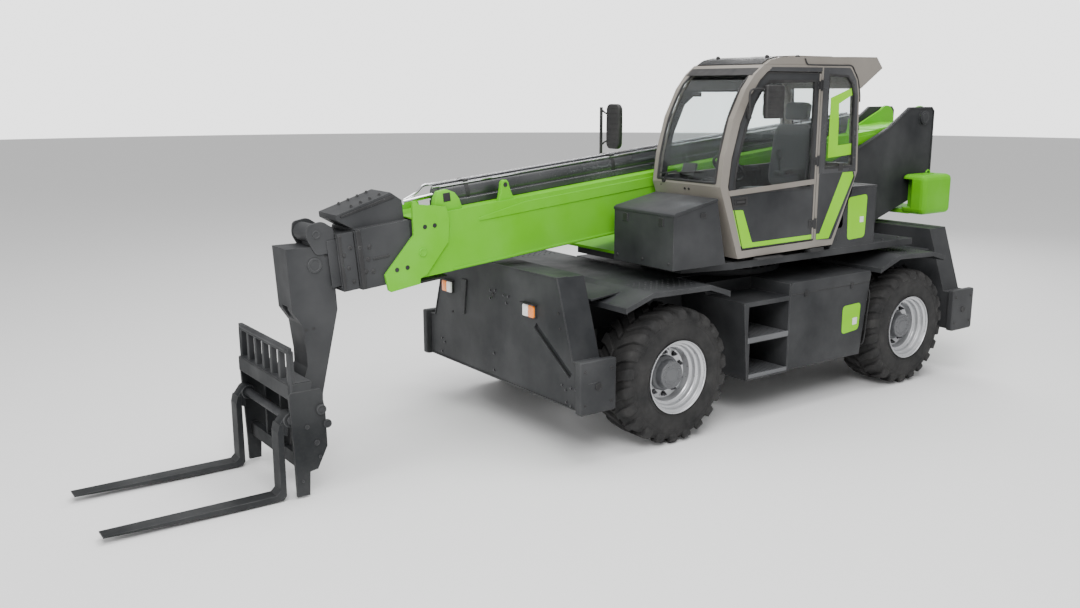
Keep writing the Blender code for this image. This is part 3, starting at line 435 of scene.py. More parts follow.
def boss(place, direction, radius, height, steps=28):
    """Raised round cap with a stepped, dished face."""
    profile = [(0.0, -0.002), (radius, -0.002), (radius, height * 0.7), (radius * 0.94, height),
        (radius * 0.74, height), (radius * 0.7, height * 0.6), (0.0, height * 0.6)]
    bm = turned(profile, (0, 0, 0), "z", steps)
    bm.transform(Matrix.Translation(place) @ Vector(direction).to_track_quat("Z", "Y").to_matrix().to_4x4())
    return bm


def tube_path(points, radius, steps=10, closed=False):
    """A round bar along a line of points."""
    bm = bmesh.new()
    points = [Vector(p) for p in points]
    count = len(points)
    rings = []
    side = None
    for i, here in enumerate(points):
        before = points[i - 1] if i > 0 or closed else here
        after = points[(i + 1) % count] if i < count - 1 or closed else here
        along = (after - before).normalized()
        if side is None:
            side = along.orthogonal().normalized()
        side = (side - along * side.dot(along)).normalized()
        other = along.cross(side)
        rings.append([bm.verts.new(here + (side * math.cos(a) + other * math.sin(a)) * radius)
            for a in (2 * math.pi * k / steps for k in range(steps))])
    pairs = list(zip(rings, rings[1:])) + ([(rings[-1], rings[0])] if closed else [])
    for one, two in pairs:
        for k in range(steps):
            m = (k + 1) % steps
            bm.faces.new((one[k], one[m], two[m], two[k]))
    if not closed:
        bm.faces.new(rings[0])
        bm.faces.new(rings[-1])
    bmesh.ops.recalc_face_normals(bm, faces=bm.faces)
    return bm


def bent(points, steps, radius, sides):
    """A round bar along a smooth line through the points."""
    return tube_path(curve_points(points, steps), radius, sides)


def curve_points(points, steps=6):
    """Catmull-Rom points through the given ones."""
    p = [Vector(q) for q in points]
    p = [p[0] * 2 - p[1]] + p + [p[-1] * 2 - p[-2]]
    found = []
    for i in range(1, len(p) - 2):
        for s in range(steps):
            t = s / steps
            found.append(0.5
                * (2 * p[i] + (p[i + 1] - p[i - 1]) * t
                + (2 * p[i - 1] - 5 * p[i] + 4 * p[i + 1] - p[i + 2]) * t * t
                + (3 * p[i] - p[i - 1] - 3 * p[i + 1] + p[i + 2]) * t ** 3))
    return found + [p[-2]]


# -------------------------------------------------------------------------------------------------- wheels
def lug(angle, side, centre):
    """One tread bar from near the middle over the shoulder and down the sidewall."""
    stations = [(0.012, 0.575, 0.0, 0.031), (0.075, 0.575, 0.075, 0.033), (0.135, 0.574, 0.135, 0.036),
        (0.185, 0.57, 0.165, 0.04), (0.212, 0.554, 0.18, 0.042), (0.224, 0.528, 0.188, 0.04),
        (0.228, 0.5, 0.192, 0.034)]
    bm = bmesh.new()
    rings = []
    for y, top, lag, half in stations:
        base = 0.535 if y < 0.2 else top - 0.03
        depth = 0.0 if y < 0.2 else -0.022
        turn = angle + lag * 1.1
        ring = []
        wide = half * 1.18
        for radius, spread, inset in ((top, -half, 0.0), (top, half, 0.0), (base, wide, depth),
                (base, -wide, depth)):
            a = turn + spread / radius
            ring.append(bm.verts.new((centre[0] + radius * math.cos(a), centre[1] + side * (y + inset),
                centre[2] + radius * math.sin(a))))
        rings.append(ring)
    for one, two in zip(rings, rings[1:]):
        for k in range(4):
            bm.faces.new((one[k], one[(k + 1) % 4], two[(k + 1) % 4], two[k]))
    bm.faces.new(rings[0])
    bm.faces.new(rings[-1])
    bmesh.ops.recalc_face_normals(bm, faces=bm.faces)
    return soften(bm, 0.004, 1, 35)


def tyre(corner, x, side):
    """Carcass, sidewall ridges and two rows of tread bars."""
    centre = (x, side * WHEEL_Y, WHEEL_Z)
    carcass = mm(302,-200, 312,-214, 345,-223, 385,-223.5, 430,-222, 480,-217, 515,-205, 535,-185, 545,-150,
        547,0)
    profile = carcass + [(r, -y) for r, y in reversed(carcass[:-1])]
    shapes = [turned(profile, centre, "y", 72)]
    for ridge in (0.335, 0.452):
        for s in (1, -1):
            half = 0.2215 if ridge < 0.4 else 0.2195
            shapes.append(turned([(ridge - 0.007, half - 0.004), (ridge - 0.003, half + 0.0025),
                (ridge + 0.003, half + 0.0025), (ridge + 0.007, half - 0.004)], centre, "y", 72, s))
    step = 2 * math.pi / TREAD_LUGS
    for i in range(TREAD_LUGS):
        shapes.append(lug(i * step, 1, centre))
        shapes.append(lug((i + 0.5) * step, -1, centre))
    made = piece(f"tread_tyre_{corner}", shapes, TYRE, f"wheel_{corner}")
    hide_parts(f"tyre_{corner}")


def rim(corner, x, side):
    """Dished rim, planetary hub, wheel nuts and valve."""
    centre = (x, side * WHEEL_Y, WHEEL_Z)
    profile = mm(118,26, 120,34, 198,38, 214,46, 224,66, 229,104, 236,112, 250,115, 254,121, 257,150,
        263,157, 273,160, 277,167, 280,196, 286,203, 296,207, 302,216, 308,222, 309,226, 303,226.5, 299,219,
        299,-219, 303,-226.5, 308,-222, 292,-206, 270,-196, 246,-120, 236,0, 120,0)
    dish = turned(profile, centre, "y", 72, side)
    made = piece(f"dished_rim_{corner}", dish, RIM_SILVER, f"wheel_{corner}", angle=28)
    hub_profile = mm(0,-78, 105,-78, 118,10, 150,42, 150,56, 142,64, 128,68, 120,76, 118,140, 112,146,
        60,148, 52,154, 0,155)
    hub = [turned(hub_profile, centre, "y", 48, side)]
    out_y = centre[1] + side * 0.147
    hub += [bolt((x + dx, out_y, WHEEL_Z + dz), (0, side, 0), 0.008, 0.007) for dx, dz in around(12, 0.088)]
    piece(f"planetary_hub_{corner}", hub, HUB_GREY, f"wheel_{corner}", angle=28)
    nuts = []
    for dx, dz in around(10, 0.183, 0.5):
        place = Vector((x + dx, centre[1] + side * 0.038, WHEEL_Z + dz))
        nuts.append(bolt(place, (0, side, 0), 0.019, 0.022))
        nuts.append(rod(place, place + Vector((0, side * 0.04, 0)), 0.009, 10, 0.002))
    a = math.radians(72)
    out = Vector((math.cos(a), 0, math.sin(a)))
    stem = Vector(centre) + out * 0.262 + Vector((0, side * 0.15, 0))
    nuts.append(rod(stem, stem + Vector((0, side * 0.035, 0)) - out * 0.008, 0.0045, 8, 0.001))
    piece(f"wheel_nuts_{corner}", nuts, BOLT, f"wheel_{corner}", angle=28)
    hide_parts(f"rim_{corner}")


def knuckle_details(corner, x, side):
    """Caps on the kingpin's two ends."""
    parts = [boss((x, side * 0.93, WHEEL_Z + up * KINGPIN_REACH), (0, 0, up), 0.045, 0.01, 20)
        for up in (1, -1)]
    piece(f"kingpin_caps_{corner}", parts, DARK, f"steer_{corner}")


# ------------------------------------------------------------------------------------------- lower machine
def lamp_pair(name, x, y, z, facing, materials, order):
    """Two lamps side by side in a rubber-edged housing. facing is 1 to the front."""
    width, height = 0.074, 0.1
    shell = []
    for k, material in enumerate(materials):
        yk = y + order * (k - 0.5) * (width + 0.008)
        outline = rounded_outline([(yk - width / 2, z - height / 2), (yk + width / 2, z - height / 2),
            (yk + width / 2, z + height / 2), (yk - width / 2, z + height / 2)], 0.014)
        lens = prism(outline, x + facing * 0.004, x + facing * 0.034, "x", 0.006)
        piece(f"{name}_lens_{k}", lens, material, "chassis", angle=40)
        rim_outline = rounded_outline([(yk - width / 2 - 0.008, z - height / 2 - 0.008),
            (yk + width / 2 + 0.008, z - height / 2 - 0.008),
            (yk + width / 2 + 0.008, z + height / 2 + 0.008),
            (yk - width / 2 - 0.008, z + height / 2 + 0.008)], 0.018)
        shell.append(prism(rim_outline, x - facing * 0.012, x + facing * 0.018, "x", 0.004))
    hood = [(y - 0.098, z + height / 2 + 0.006), (y + 0.098, z + height / 2 + 0.006),
        (y + 0.098, z + height / 2 + 0.014), (y - 0.098, z + height / 2 + 0.014)]
    shell.append(prism(hood, x - facing * 0.012, x + facing * 0.046, "x", 0.0015, 1))
    piece(f"{name}_housing", shell, SEAL, "chassis")


def outrigger_box_details(end, face_x, facing):
    """Plate ribs, edge flange, bolts, service holes and lamps on one outrigger box."""
    z_top = 1.45
    ribs = []
    wedge = mm(-556,915, -532,915, -485,1235, -575,1235)
    ribs.append(prism(wedge, face_x, face_x + facing * 0.016, "x", 0.004, 1))
    flange = [(-0.868, z_top - 0.004), (0.868, z_top - 0.004), (0.868, z_top + 0.006),
        (-0.868, z_top + 0.006)]
    ribs.append(prism(flange, face_x - facing * 0.1, face_x + facing * 0.012, "x", 0.003, 1))
    for s in (1, -1):
        slope = [(s * 0.868, z_top), (s * 1.078, 0.82), (s * 1.066, 0.82), (s * 0.856, z_top)]
        ribs.append(prism(slope, face_x, face_x + facing * 0.01, "x", 0.002, 1))
        foot = [(s * 1.078, 0.826), (s * 1.15, 0.826), (s * 1.15, 0.814), (s * 1.078, 0.814)]
        ribs.append(prism(foot, face_x, face_x + facing * 0.01, "x", 0.002, 1))
    sill = rect(-1150, 433, 1150, 445)
    ribs.append(prism(sill, face_x, face_x + facing * 0.01, "x", 0.002, 1))
    piece(f"{end}_box_ribs", ribs, CHARCOAL, "chassis")
    bolts = []
    for y, z in ((-0.11, 1.2), (-0.11, 1.13), (-0.03, 1.21), (0.1, 1.19), (0.17, 1.19), (0.14, 1.13),
            (0.93, 0.6), (0.98, 0.57), (1.05, 0.6), (1.11, 0.6), (0.99, 0.47), (1.05, 0.455), (-0.95, 0.61),
            (-0.91, 0.58), (-0.96, 0.48), (-0.06, 0.65), (-0.06, 0.5)):
        bolts.append(bolt((face_x, y, z), (facing, 0, 0), 0.0115, 0.008))
    piece(f"{end}_box_bolts", bolts, BOLT, "chassis")
    holes = []
    for y, z, r in ((-0.07, 1.165, 0.022), (0.88, 1.17, 0.012), (0.9, 1.05, 0.01), (-0.75, 0.9, 0.01)):
        holes.append(boss((face_x, y, z), (facing, 0, 0), r, 0.005, 20))
    piece(f"{end}_box_plugs", holes, SEAL, "chassis")
    if facing > 0:
        lamp_pair("front_left_lamps", face_x, 0.5, 1.13, 1, (LAMP_WHITE, LAMP_AMBER), 1)
        lamp_pair("front_right_lamps", face_x, -0.81, 1.13, 1, (LAMP_WHITE, LAMP_AMBER), -1)
    else:
        lamp_pair("rear_left_lamps", face_x, 0.62, 1.13, -1, (LAMP_RED, LAMP_AMBER), 1)
        lamp_pair("rear_right_lamps", face_x, -0.62, 1.13, -1, (LAMP_RED, LAMP_AMBER), -1)


def leg_details(corner, near, far, side):
    """Seams, foot plate and pin on the end plate of one outrigger leg."""
    sign = 1 if far > near else -1
    low, high = sorted((near - sign * 0.048, far + sign * 0.052))
    parts = [prism([(side * 1.17, 0.4205), (side * 1.228, 0.4205), (side * 1.228, 0.428),
        (side * 1.17, 0.428)], low + 0.02, high - 0.02, "x", 0.002, 1)]
    for x in (low + 0.05, high - 0.05):
        for z in (0.5, 0.77):
            parts.append(bolt((x, side * 1.231, z), (0, side, 0), 0.012, 0.008))
    parts.append(boss(((low + high) / 2, side * 1.231, 0.635), (0, side, 0), 0.032, 0.008, 24))
    piece(f"leg_fittings_{corner}", parts, DARK, f"leg_{corner}")


def deck_details(end, folds, direction):
    """Folded lips along the fenders' edges, and a grip strip on each deck."""
    shapes = []
    for s in (1, -1):
        outline = [(x * direction, z - 0.001) for x, z in folds] + [(x * direction, z - 0.045)
            for x, z in reversed(folds)]
        shapes.append(prism(outline, *span(s, 1.238, 1.2495), "y", 0.002, 1))
    for k in (0, -1):
        x, z = folds[k]
        shapes.append(block((min(x * direction - 0.006, x * direction + 0.006), -1.249, z - 0.05),
            (max(x * direction - 0.006, x * direction + 0.006), 1.249, z - 0.003), 0.002, 1))
    piece(f"{end}_fender_lips", shapes, CHARCOAL, "chassis")
    (x0, z0), (x1, z1) = (folds[1], folds[2])
    grip = []
    for s in (1, -1):
        for i in range(9):
            for k in range(5):
                t = 0.1 + 0.8 * i / 8
                x, z = (x0 + (x1 - x0) * t) * direction, z0 + (z1 - z0) * t
                y = s * (0.86 + 0.07 * k)
                stud = bmesh.new()
                bmesh.ops.create_cone(stud, cap_ends=True, segments=8, radius1=0.011, radius2=0.006,
                    depth=0.005)
                stud.transform(Matrix.Translation((x, y, z + 0.002)))
                grip.append(stud)
    piece(f"{end}_deck_studs", grip, CHARCOAL, "chassis")


def side_boxes():
    """Lids, seams, latches, decals and caps on the boxes between the axles, and the steps' treads."""
    for s, word in SIDES:
        y0, y1 = sorted((s * 0.405, s * 1.194))
        lid = mm(148,1092, 148,1168, 120,1199, -967,1199, -979,1165, -966,1092)
        piece(f"tank_lid_{word}", prism(lid, y0, y1, "y", 0.005), CHARCOAL, "chassis")
        seam = mm(146,1086, 146,1092.5, -965.5,1092.5, -964.5,1086)
        piece(f"tank_seam_{word}", prism(seam, *span(s, 0.41, 1.1915)), SEAL, "chassis")
        y0, y1 = sorted((s * 1.189, s * 1.201))
        bracket = [block((x - 0.018, y0, 1.055), (x + 0.018, y1, 1.115), 0.003, 1) for x in (-0.7, -0.05)]
        piece(f"tank_latches_{word}", bracket, DARK, "chassis")
        plate = rounded_outline(mm(-830,645, -585,625, -585,895, -845,905), 0.045, 6)
        piece(f"tank_decal_{word}", prism(plate, *span(s, 1.19, 1.1925)), DECAL, "chassis")
        square = rounded_outline(mm(-800,700, -735,697, -735,765, -803,768), 0.008, 3)
        piece(f"tank_decal_square_{word}", prism(square, *span(s, 1.192, 1.1935)), DECAL_WHITE, "chassis")
        rail = bent([(-0.89, s * 1.1, 0.5), (-0.9, s * 1.2, 0.5), (-0.93, s * 1.205, 0.75),
            (-0.955, s * 1.2, 1.0), (-0.955, s * 1.1, 1.02)], 5, 0.006, 8)
        piece(f"tank_edge_rail_{word}", rail, DARK, "chassis")
    treads = []
    for z, x1, y0 in ((0.424, 0.655, 0.74), (0.759, 0.68, 0.74)):
        for i in range(13):
            x = 0.185 + i * (x1 - 0.215) / 12
            treads.append(block((x - 0.006, y0, z - 0.004), (x + 0.006, 1.188, z + 0.006), 0.002, 1))
        treads.append(block((0.165, 1.176, z - 0.04), (x1 + 0.005, 1.193, z + 0.008), 0.003, 1))
    piece("step_treads", treads, HUB_GREY, "chassis", "charcoal_paint")
    edges = [prism(rect(152, 387, 690, 400), 1.17, 1.196, "y", 0.002, 1),
        prism(mm(690,387, 750,1075, 735,1075, 675,387), 1.17, 1.196, "y", 0.002, 1)]
    piece("step_edges", edges, CHARCOAL, "chassis")
    door = rounded_outline(mm(200,460, 640,460, 690,1100, 200,1100), 0.02, 4)
    parts = [prism(door, -1.196, -1.189, "y", 0.002, 1)]
    parts += [block((0.215, -1.204, z), (0.255, -1.19, z + 0.07), 0.003, 1) for z in (0.55, 0.95)]
    piece("tool_box_door", parts, CHARCOAL, "chassis")
    piece("tool_box_latch", block((0.6, -1.206, 0.77), (0.64, -1.19, 0.83)), DARK, "chassis")


def slew_ring_bolts():
    """The ring of bolts under the turret."""
    bolts = [bolt((x, y, 1.256), (0, 0, 1), 0.012, 0.012) for x, y in around(40, 0.648)]
    piece("slew_ring_bolts", bolts, BOLT, "chassis")


def axle_details():
    """Covers, bolts and steering cylinders on the axles."""
    for end, x in (("front", 1.55), ("rear", -1.55)):
        parts = [boss((x + s * 0.185, 0, WHEEL_Z), (s, 0, 0), 0.1, 0.02, 24) for s in (1, -1)]
        for s in (1, -1):
            parts += [bolt((x + s * 0.188, y, WHEEL_Z + z), (s, 0, 0), 0.008, 0.007)
                for y, z in around(8, 0.085)]
            parts.append(rod((x - s * 0.12, 0.2, WHEEL_Z + 0.02), (x - s * 0.12, 0.56, WHEEL_Z + 0.02),
                0.03, 16, 0.004))
        piece(f"{end}_axle_fittings", parts, DARK, "chassis")


# -------------------------------------------------------------------------------------------------- turret
def turret_details():
    """Pivot caps, edges of the two side plates and floor bolts."""
    for s, word in SIDES:
        y = BOOM_Y + s * PLATE_SIDE
        fittings = [boss((PIVOT_X, y + s * 0.028, PIVOT_Z), (0, s, 0), 0.06, 0.008),
            boss((PIVOT_X, y, PIVOT_Z), (0, s, 0), 0.088, 0.006, 32)]
        piece(f"pivot_caps_{word}", fittings, CHARCOAL)
        rim_line = mm(-3108,1810, -3108,2655, -3066,2697, -2672,2697, -2312,2482, -1762,2262, -952,1997,
            148,1618)
        outline = rim_line + [(x, z - 0.014) for x, z in reversed(rim_line[3:])] + mm(-2680,2683,
            -3060,2683, -3094,2650, -3094,1810)
        lo, hi = sorted((y - s * 0.001, y + s * 0.01))
        piece(f"plate_edge_{word}", prism(outline, lo, hi), CHARCOAL)
    floor_bolts = [bolt((x, s * 1.02, 1.44), (0, 0, 1), 0.013, 0.009) for x in (-1.6, -1.35, 0.6)
        for s in (1, -1)]
    piece("turret_floor_bolts", floor_bolts, BOLT, slot="charcoal_paint")


def counterweight_details():
    """Lifting eyes and fixing bolts."""
    eyes = []
    for s in (1, -1):
        y = BOOM_Y + s * 0.43
        eyes.append(bent([(-2.88, y, 1.968), (-2.88, y, 2.004), (-2.85, y, 2.02), (-2.82, y, 2.004),
            (-2.82, y, 1.968)], 5, 0.009, 8))
        eyes.append(block((-2.92, y - 0.03, 1.975), (-2.78, y + 0.03, 1.986)))
    piece("counterweight_eyes", eyes, LIME)
    bolts = []
    for s in (1, -1):
        bolts += [bolt((-2.74, BOOM_Y + s * 0.345, z), (1, 0, 0), 0.018, 0.012) for z in (1.7, 1.86)]
    piece("counterweight_bolts", bolts, BOLT, slot="charcoal_paint")


def side_housing_details():
    """Panel, lid and blank decals."""
    y = 1.1
    plate = rounded_outline(mm(-955,1515, -700,1505, -685,1905, -965,1925), 0.045, 6)
    piece("housing_decal", prism(plate, y, y + 0.0025), DECAL)
    square = rounded_outline(rect(-925, 1660, -870, 1715), 0.006, 3)
    piece("housing_decal_square", prism(square, y + 0.002, y + 0.0035), DECAL_WHITE)
    panel = rounded_outline(mm(-1075,1470, -530,1470, -765,1930, -765,1975, -1075,1975), 0.02, 4)
    piece("housing_panel", prism(panel, y - 0.004, y + 0.001), CHARCOAL)
    lid = mm(-732,1985, -732,2006, -1104,2006, -1104,1985)
    piece("housing_lid", prism(lid, 0.307, 1.104, "y", 0.004), CHARCOAL)


def front_box_details():
    """Lid, latches and bolts."""
    lid = mm(1562,1885, 1562,1908, 1536,1923, 1072,2011, 1070,1990)
    piece("front_box_lid", prism(lid, 0.392, 1.158, "y", 0.005), CHARCOAL)
    parts = [block((1.2, 1.15, 1.86), (1.26, 1.16, 1.9), 0.003, 1)]
    parts += [block((1.553, y - 0.03, 1.8), (1.564, y + 0.03, 1.87), 0.003, 1) for y in (0.55, 1.0)]
    parts += [bolt((1.556, y, 1.5), (1, 0, 0), 0.009, 0.006) for y in (0.45, 0.775, 1.1)]
    piece("front_box_latches", parts, DARK)


def engine_hood_details():
    """Louvres, panel seams, latches, filler cap and exhaust on the engine side."""
    y = -1.14
    slats = []
    for x0, x1 in ((-1.5, -0.95), (-0.85, -0.3)):
        for i in range(11):
            z = 1.56 + i * 0.03
            slats.append(prism([(y - 0.01, z), (y + 0.001, z + 0.018), (y + 0.001, z + 0.022),
                (y - 0.012, z + 0.004)], x0, x1, "x"))
    piece("hood_louvres", slats, DARK)
    seams = [block((x - 0.003, y - 0.0015, 1.46), (x + 0.003, y + 0.001, 1.96), 0.0)
        for x in (-0.9, -0.25, 0.2)]
    seams.append(block((-1.69, y - 0.0015, 1.925), (0.36, y + 0.001, 1.931), 0.0))
    piece("hood_seams", seams, SEAL)
    panel = rounded_outline(mm(-200,1500, 440,1500, 440,1600, 360,1800, -200,1800), 0.02, 4)
    piece("hood_side_panel", prism(panel, y - 0.004, y + 0.001, "y", 0.0015, 1), CHARCOAL)
    latches = [block((x - 0.03, y - 0.01, 1.49), (x + 0.03, y, 1.53), 0.003) for x in (-1.22, -0.58)]
    piece("hood_latches", latches, DARK)
    stack = turned(mm(0,1990, 55,1990, 55,2030, 45,2040, 45,2230, 50,2250, 50,2280, 40,2280, 40,2100,
        0,2100), (-1.4, -0.8, 0), "z", 28)
    piece("exhaust_stack", stack, IRON)
    cap = turned(mm(0,1995, 50,1995, 50,2012, 42,2020, 42,2035, 34,2042, 0,2042), (-0.3, -0.55, 0), "z", 24)
    piece("hood_filler_cap", cap, DARK)
    grille = [block((-1.6 + i * 0.035, -0.95, 1.999), (-1.588 + i * 0.035, -0.4, 2.006), 0.001, 1)
        for i in range(22) if not 3 < i < 7]
    piece("hood_top_grille", grille, DARK)


def engine_details():
    """Ribs and covers on the engine block."""
    parts = [block((-1.36, -0.8, 1.5), (-1.3, -0.6, 1.8), 0.02),
        block((-0.9, -0.99, 1.6), (-0.5, -0.965, 1.75), 0.01)]
    for i in range(6):
        parts.append(rod((-1.2 + 0.15 * i, -0.985, 1.52), (-1.2 + 0.15 * i, -0.985, 1.84), 0.012, 8))
    piece("engine_ribs", parts, IRON)


# ----------------------------------------------------------------------------------------------------- cab
DOOR_EDGE = mm(-142,1563, 770,1553, 957,2101, 927,2328, 842,2617, 728,2845, 630,2963, 538,3037, -142,3037)
GLASS_EDGE = mm(-85,2030, 890,2030, 895,2120, 870,2310, 790,2580, 690,2800, 600,2910, 515,2975, -85,2975)
QUARTER = mm(-245,2190, -640,2190, -630,2600, -620,2850, -575,2965, -505,3020, -245,3030)


def band(points, thick, lo, hi, bevel=0.0):
    """A strip of even thickness that follows a closed outline's inner side, swept across y."""
    centre = Vector((sum(p[0] for p in points) / len(points), sum(p[1] for p in points) / len(points)))
    inner = []
    for p in points:
        away = Vector(p) - centre
        inner.append(tuple(centre + away * (1 - thick / away.length)))
    bm = bmesh.new()
    rows = [[bm.verts.new((x, y, z)) for x, z in ring] for ring in (points, inner) for y in (lo, hi)]
    outer_lo, outer_hi, inner_lo, inner_hi = rows
    count = len(points)
    for one, two in ((outer_lo, outer_hi), (outer_hi, inner_hi), (inner_hi, inner_lo),
            (inner_lo, outer_lo)):
        for i in range(count):
            j = (i + 1) % count
            bm.faces.new((one[i], one[j], two[j], two[i]))
    bmesh.ops.recalc_face_normals(bm, faces=bm.faces)
    return soften(bm, bevel, 1) if bevel else bm


def door_details():
    """Rails, seals, stripe, handle, hinges and window latch."""
    side = DOOR_SIDE
    rail = rounded_outline(mm(-118,2066, 950,2020, 955,2066, -118,2112), 0.006, 2)
    piece("door_waist_rail", prism(rail, side - 0.004, side + 0.006, "y", 0.002, 1), BEIGE, "door")
    piece("door_rear_strip", prism(rect(-140, 1570, -120, 3030), side - 0.004, side + 0.004, "y", 0.002, 1),
        BEIGE, "door")
    piece("door_seal", band(DOOR_EDGE, 0.012, side - 0.006, side + 0.003, 0.001), SEAL, "door")
    piece("door_glass_seal", band(GLASS_EDGE, 0.03, side - 0.024, side + 0.002, 0.001), SEAL, "door")
    stripe = mm(922,1900, 776,1894, 650,1606, -140,1612, -140,1566, 748,1556, 800,1600)
    piece("door_stripe", prism(rounded_outline(stripe, 0.01, 2), side - 0.003, side - 0.0003), DECAL,
        "door")
    panel = rounded_outline(mm(720,1930, 900,1925, 915,2000, 725,2008), 0.012, 3)
    piece("door_handle_plate", prism(panel, side - 0.006, side + 0.0015, "y", 0.001, 1), SEAL, "door")
    cup = rounded_outline(mm(745,1942, 880,1938, 890,1988, 748,1995), 0.015, 4)
    piece("door_handle",
        [band(cup, 0.008, side, side + 0.009, 0.002),
        block((0.765, side + 0.003, 1.958), (0.865, side + 0.013, 1.974), 0.003)], TRIM, "door")
    hinges = []
    for z in (1.71, 2.27, 2.93):
        hinges.append(rod((HINGE_X, DOOR_SIDE, z - 0.045), (HINGE_X, DOOR_SIDE, z + 0.045), 0.017, 16,
            0.002))
        hinges.append(block((-0.135, side - 0.002, z - 0.035), (-0.07, side + 0.006, z + 0.035), 0.002, 1))
        hinges += [bolt((-0.1, side + 0.005, z + dz), (0, 1, 0), 0.007, 0.005, False)
            for dz in (-0.02, 0.02)]
    piece("door_hinges", hinges, DARK, "door")
    lock = join(boss((0.225, side - 0.013, 2.185), (0, 1, 0), 0.022, 0.012, 20),
        block((0.155, side - 0.013, 2.172), (0.215, side - 0.001, 2.196), 0.005))
    piece("window_latch", lock, SEAL, "door")


def mirrors():
    """Housings with rounded edges and a glass face, on bent tube arms."""
    plan = rounded_outline(mm(405,1180, 440,1178, 625,1196, 622,1240, 585,1246.5, 430,1246.5, 405,1235),
        0.02, 4)
    head = prism(plan, 2.655, 2.932, "z", 0.014, 3)
    arm = bent([(0.766, 1.178, 2.69), (0.785, 1.2, 2.74), (0.797, 1.206, 2.84), (0.785, 1.208, 2.888),
        (0.74, 1.209, 2.899), (0.65, 1.209, 2.899), (0.6, 1.209, 2.885), (0.59, 1.209, 2.8)], 6, 0.0095, 10)
    foot = block((0.742, 1.1605, 2.655), (0.782, 1.188, 2.745), 0.006)
    ribs = [block((0.42, 1.244, 2.68 + 0.05 * i), (0.61, 1.249, 2.685 + 0.05 * i), 0.002, 1)
        for i in range(5)]
    made = piece("mirror_head_left", [head, arm, foot, *ribs], SEAL, "door")
    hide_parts("mirror_left")
    glass_plan = prism(rounded_outline(rect(425, 2675, 605, 2912), 0.022, 5), 1.174, 1.1825, "y", 0.001, 1)
    piece("mirror_glass_left", glass_plan, MIRROR, "door")
    face = rounded_outline(mm(-1142,2330, -1110,2293, -968,2293, -936,2330, -930,2520, -936,2712, -968,2748,
        -1110,2748, -1142,2712, -1147,2520), 0.03, 4)
    head = prism(face, 0.356, 0.413, "x", 0.018, 3)
    ribs = [block((0.408, -1.125, 2.34 + 0.052 * i), (0.416, -0.955, 2.347 + 0.052 * i), 0.002, 1)
        for i in range(8)]
    pole = tube_path([(0.436, -1.19, 1.66), (0.436, -1.19, 2.715)], 0.016, 14)
    arms = [bent([(0.436, -1.19, z + dz), (0.436, -1.165, z + dz), (0.425, -1.145, z),
        (0.388, -1.12, z - dz)], 5, 0.009, 8) for z, dz in ((2.36, -0.02), (2.66, 0.02))]
    foot = block((0.34, -1.205, 1.64), (0.45, -1.142, 1.74), 0.006)
    screws = [bolt((0.395, -1.205, z), (0, -1, 0), 0.009, 0.006) for z in (1.665, 1.715)]
    made = piece("mirror_head_right", [head, pole, foot, *arms, *ribs, *screws], SEAL)
    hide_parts("mirror_right")
    back = rounded_outline(mm(-1125,2318, -950,2318, -945,2520, -950,2722, -1125,2722, -1130,2520), 0.03, 4)
    piece("mirror_glass_right", prism(back, 0.352, 0.358, "x", 0.001, 1), MIRROR)


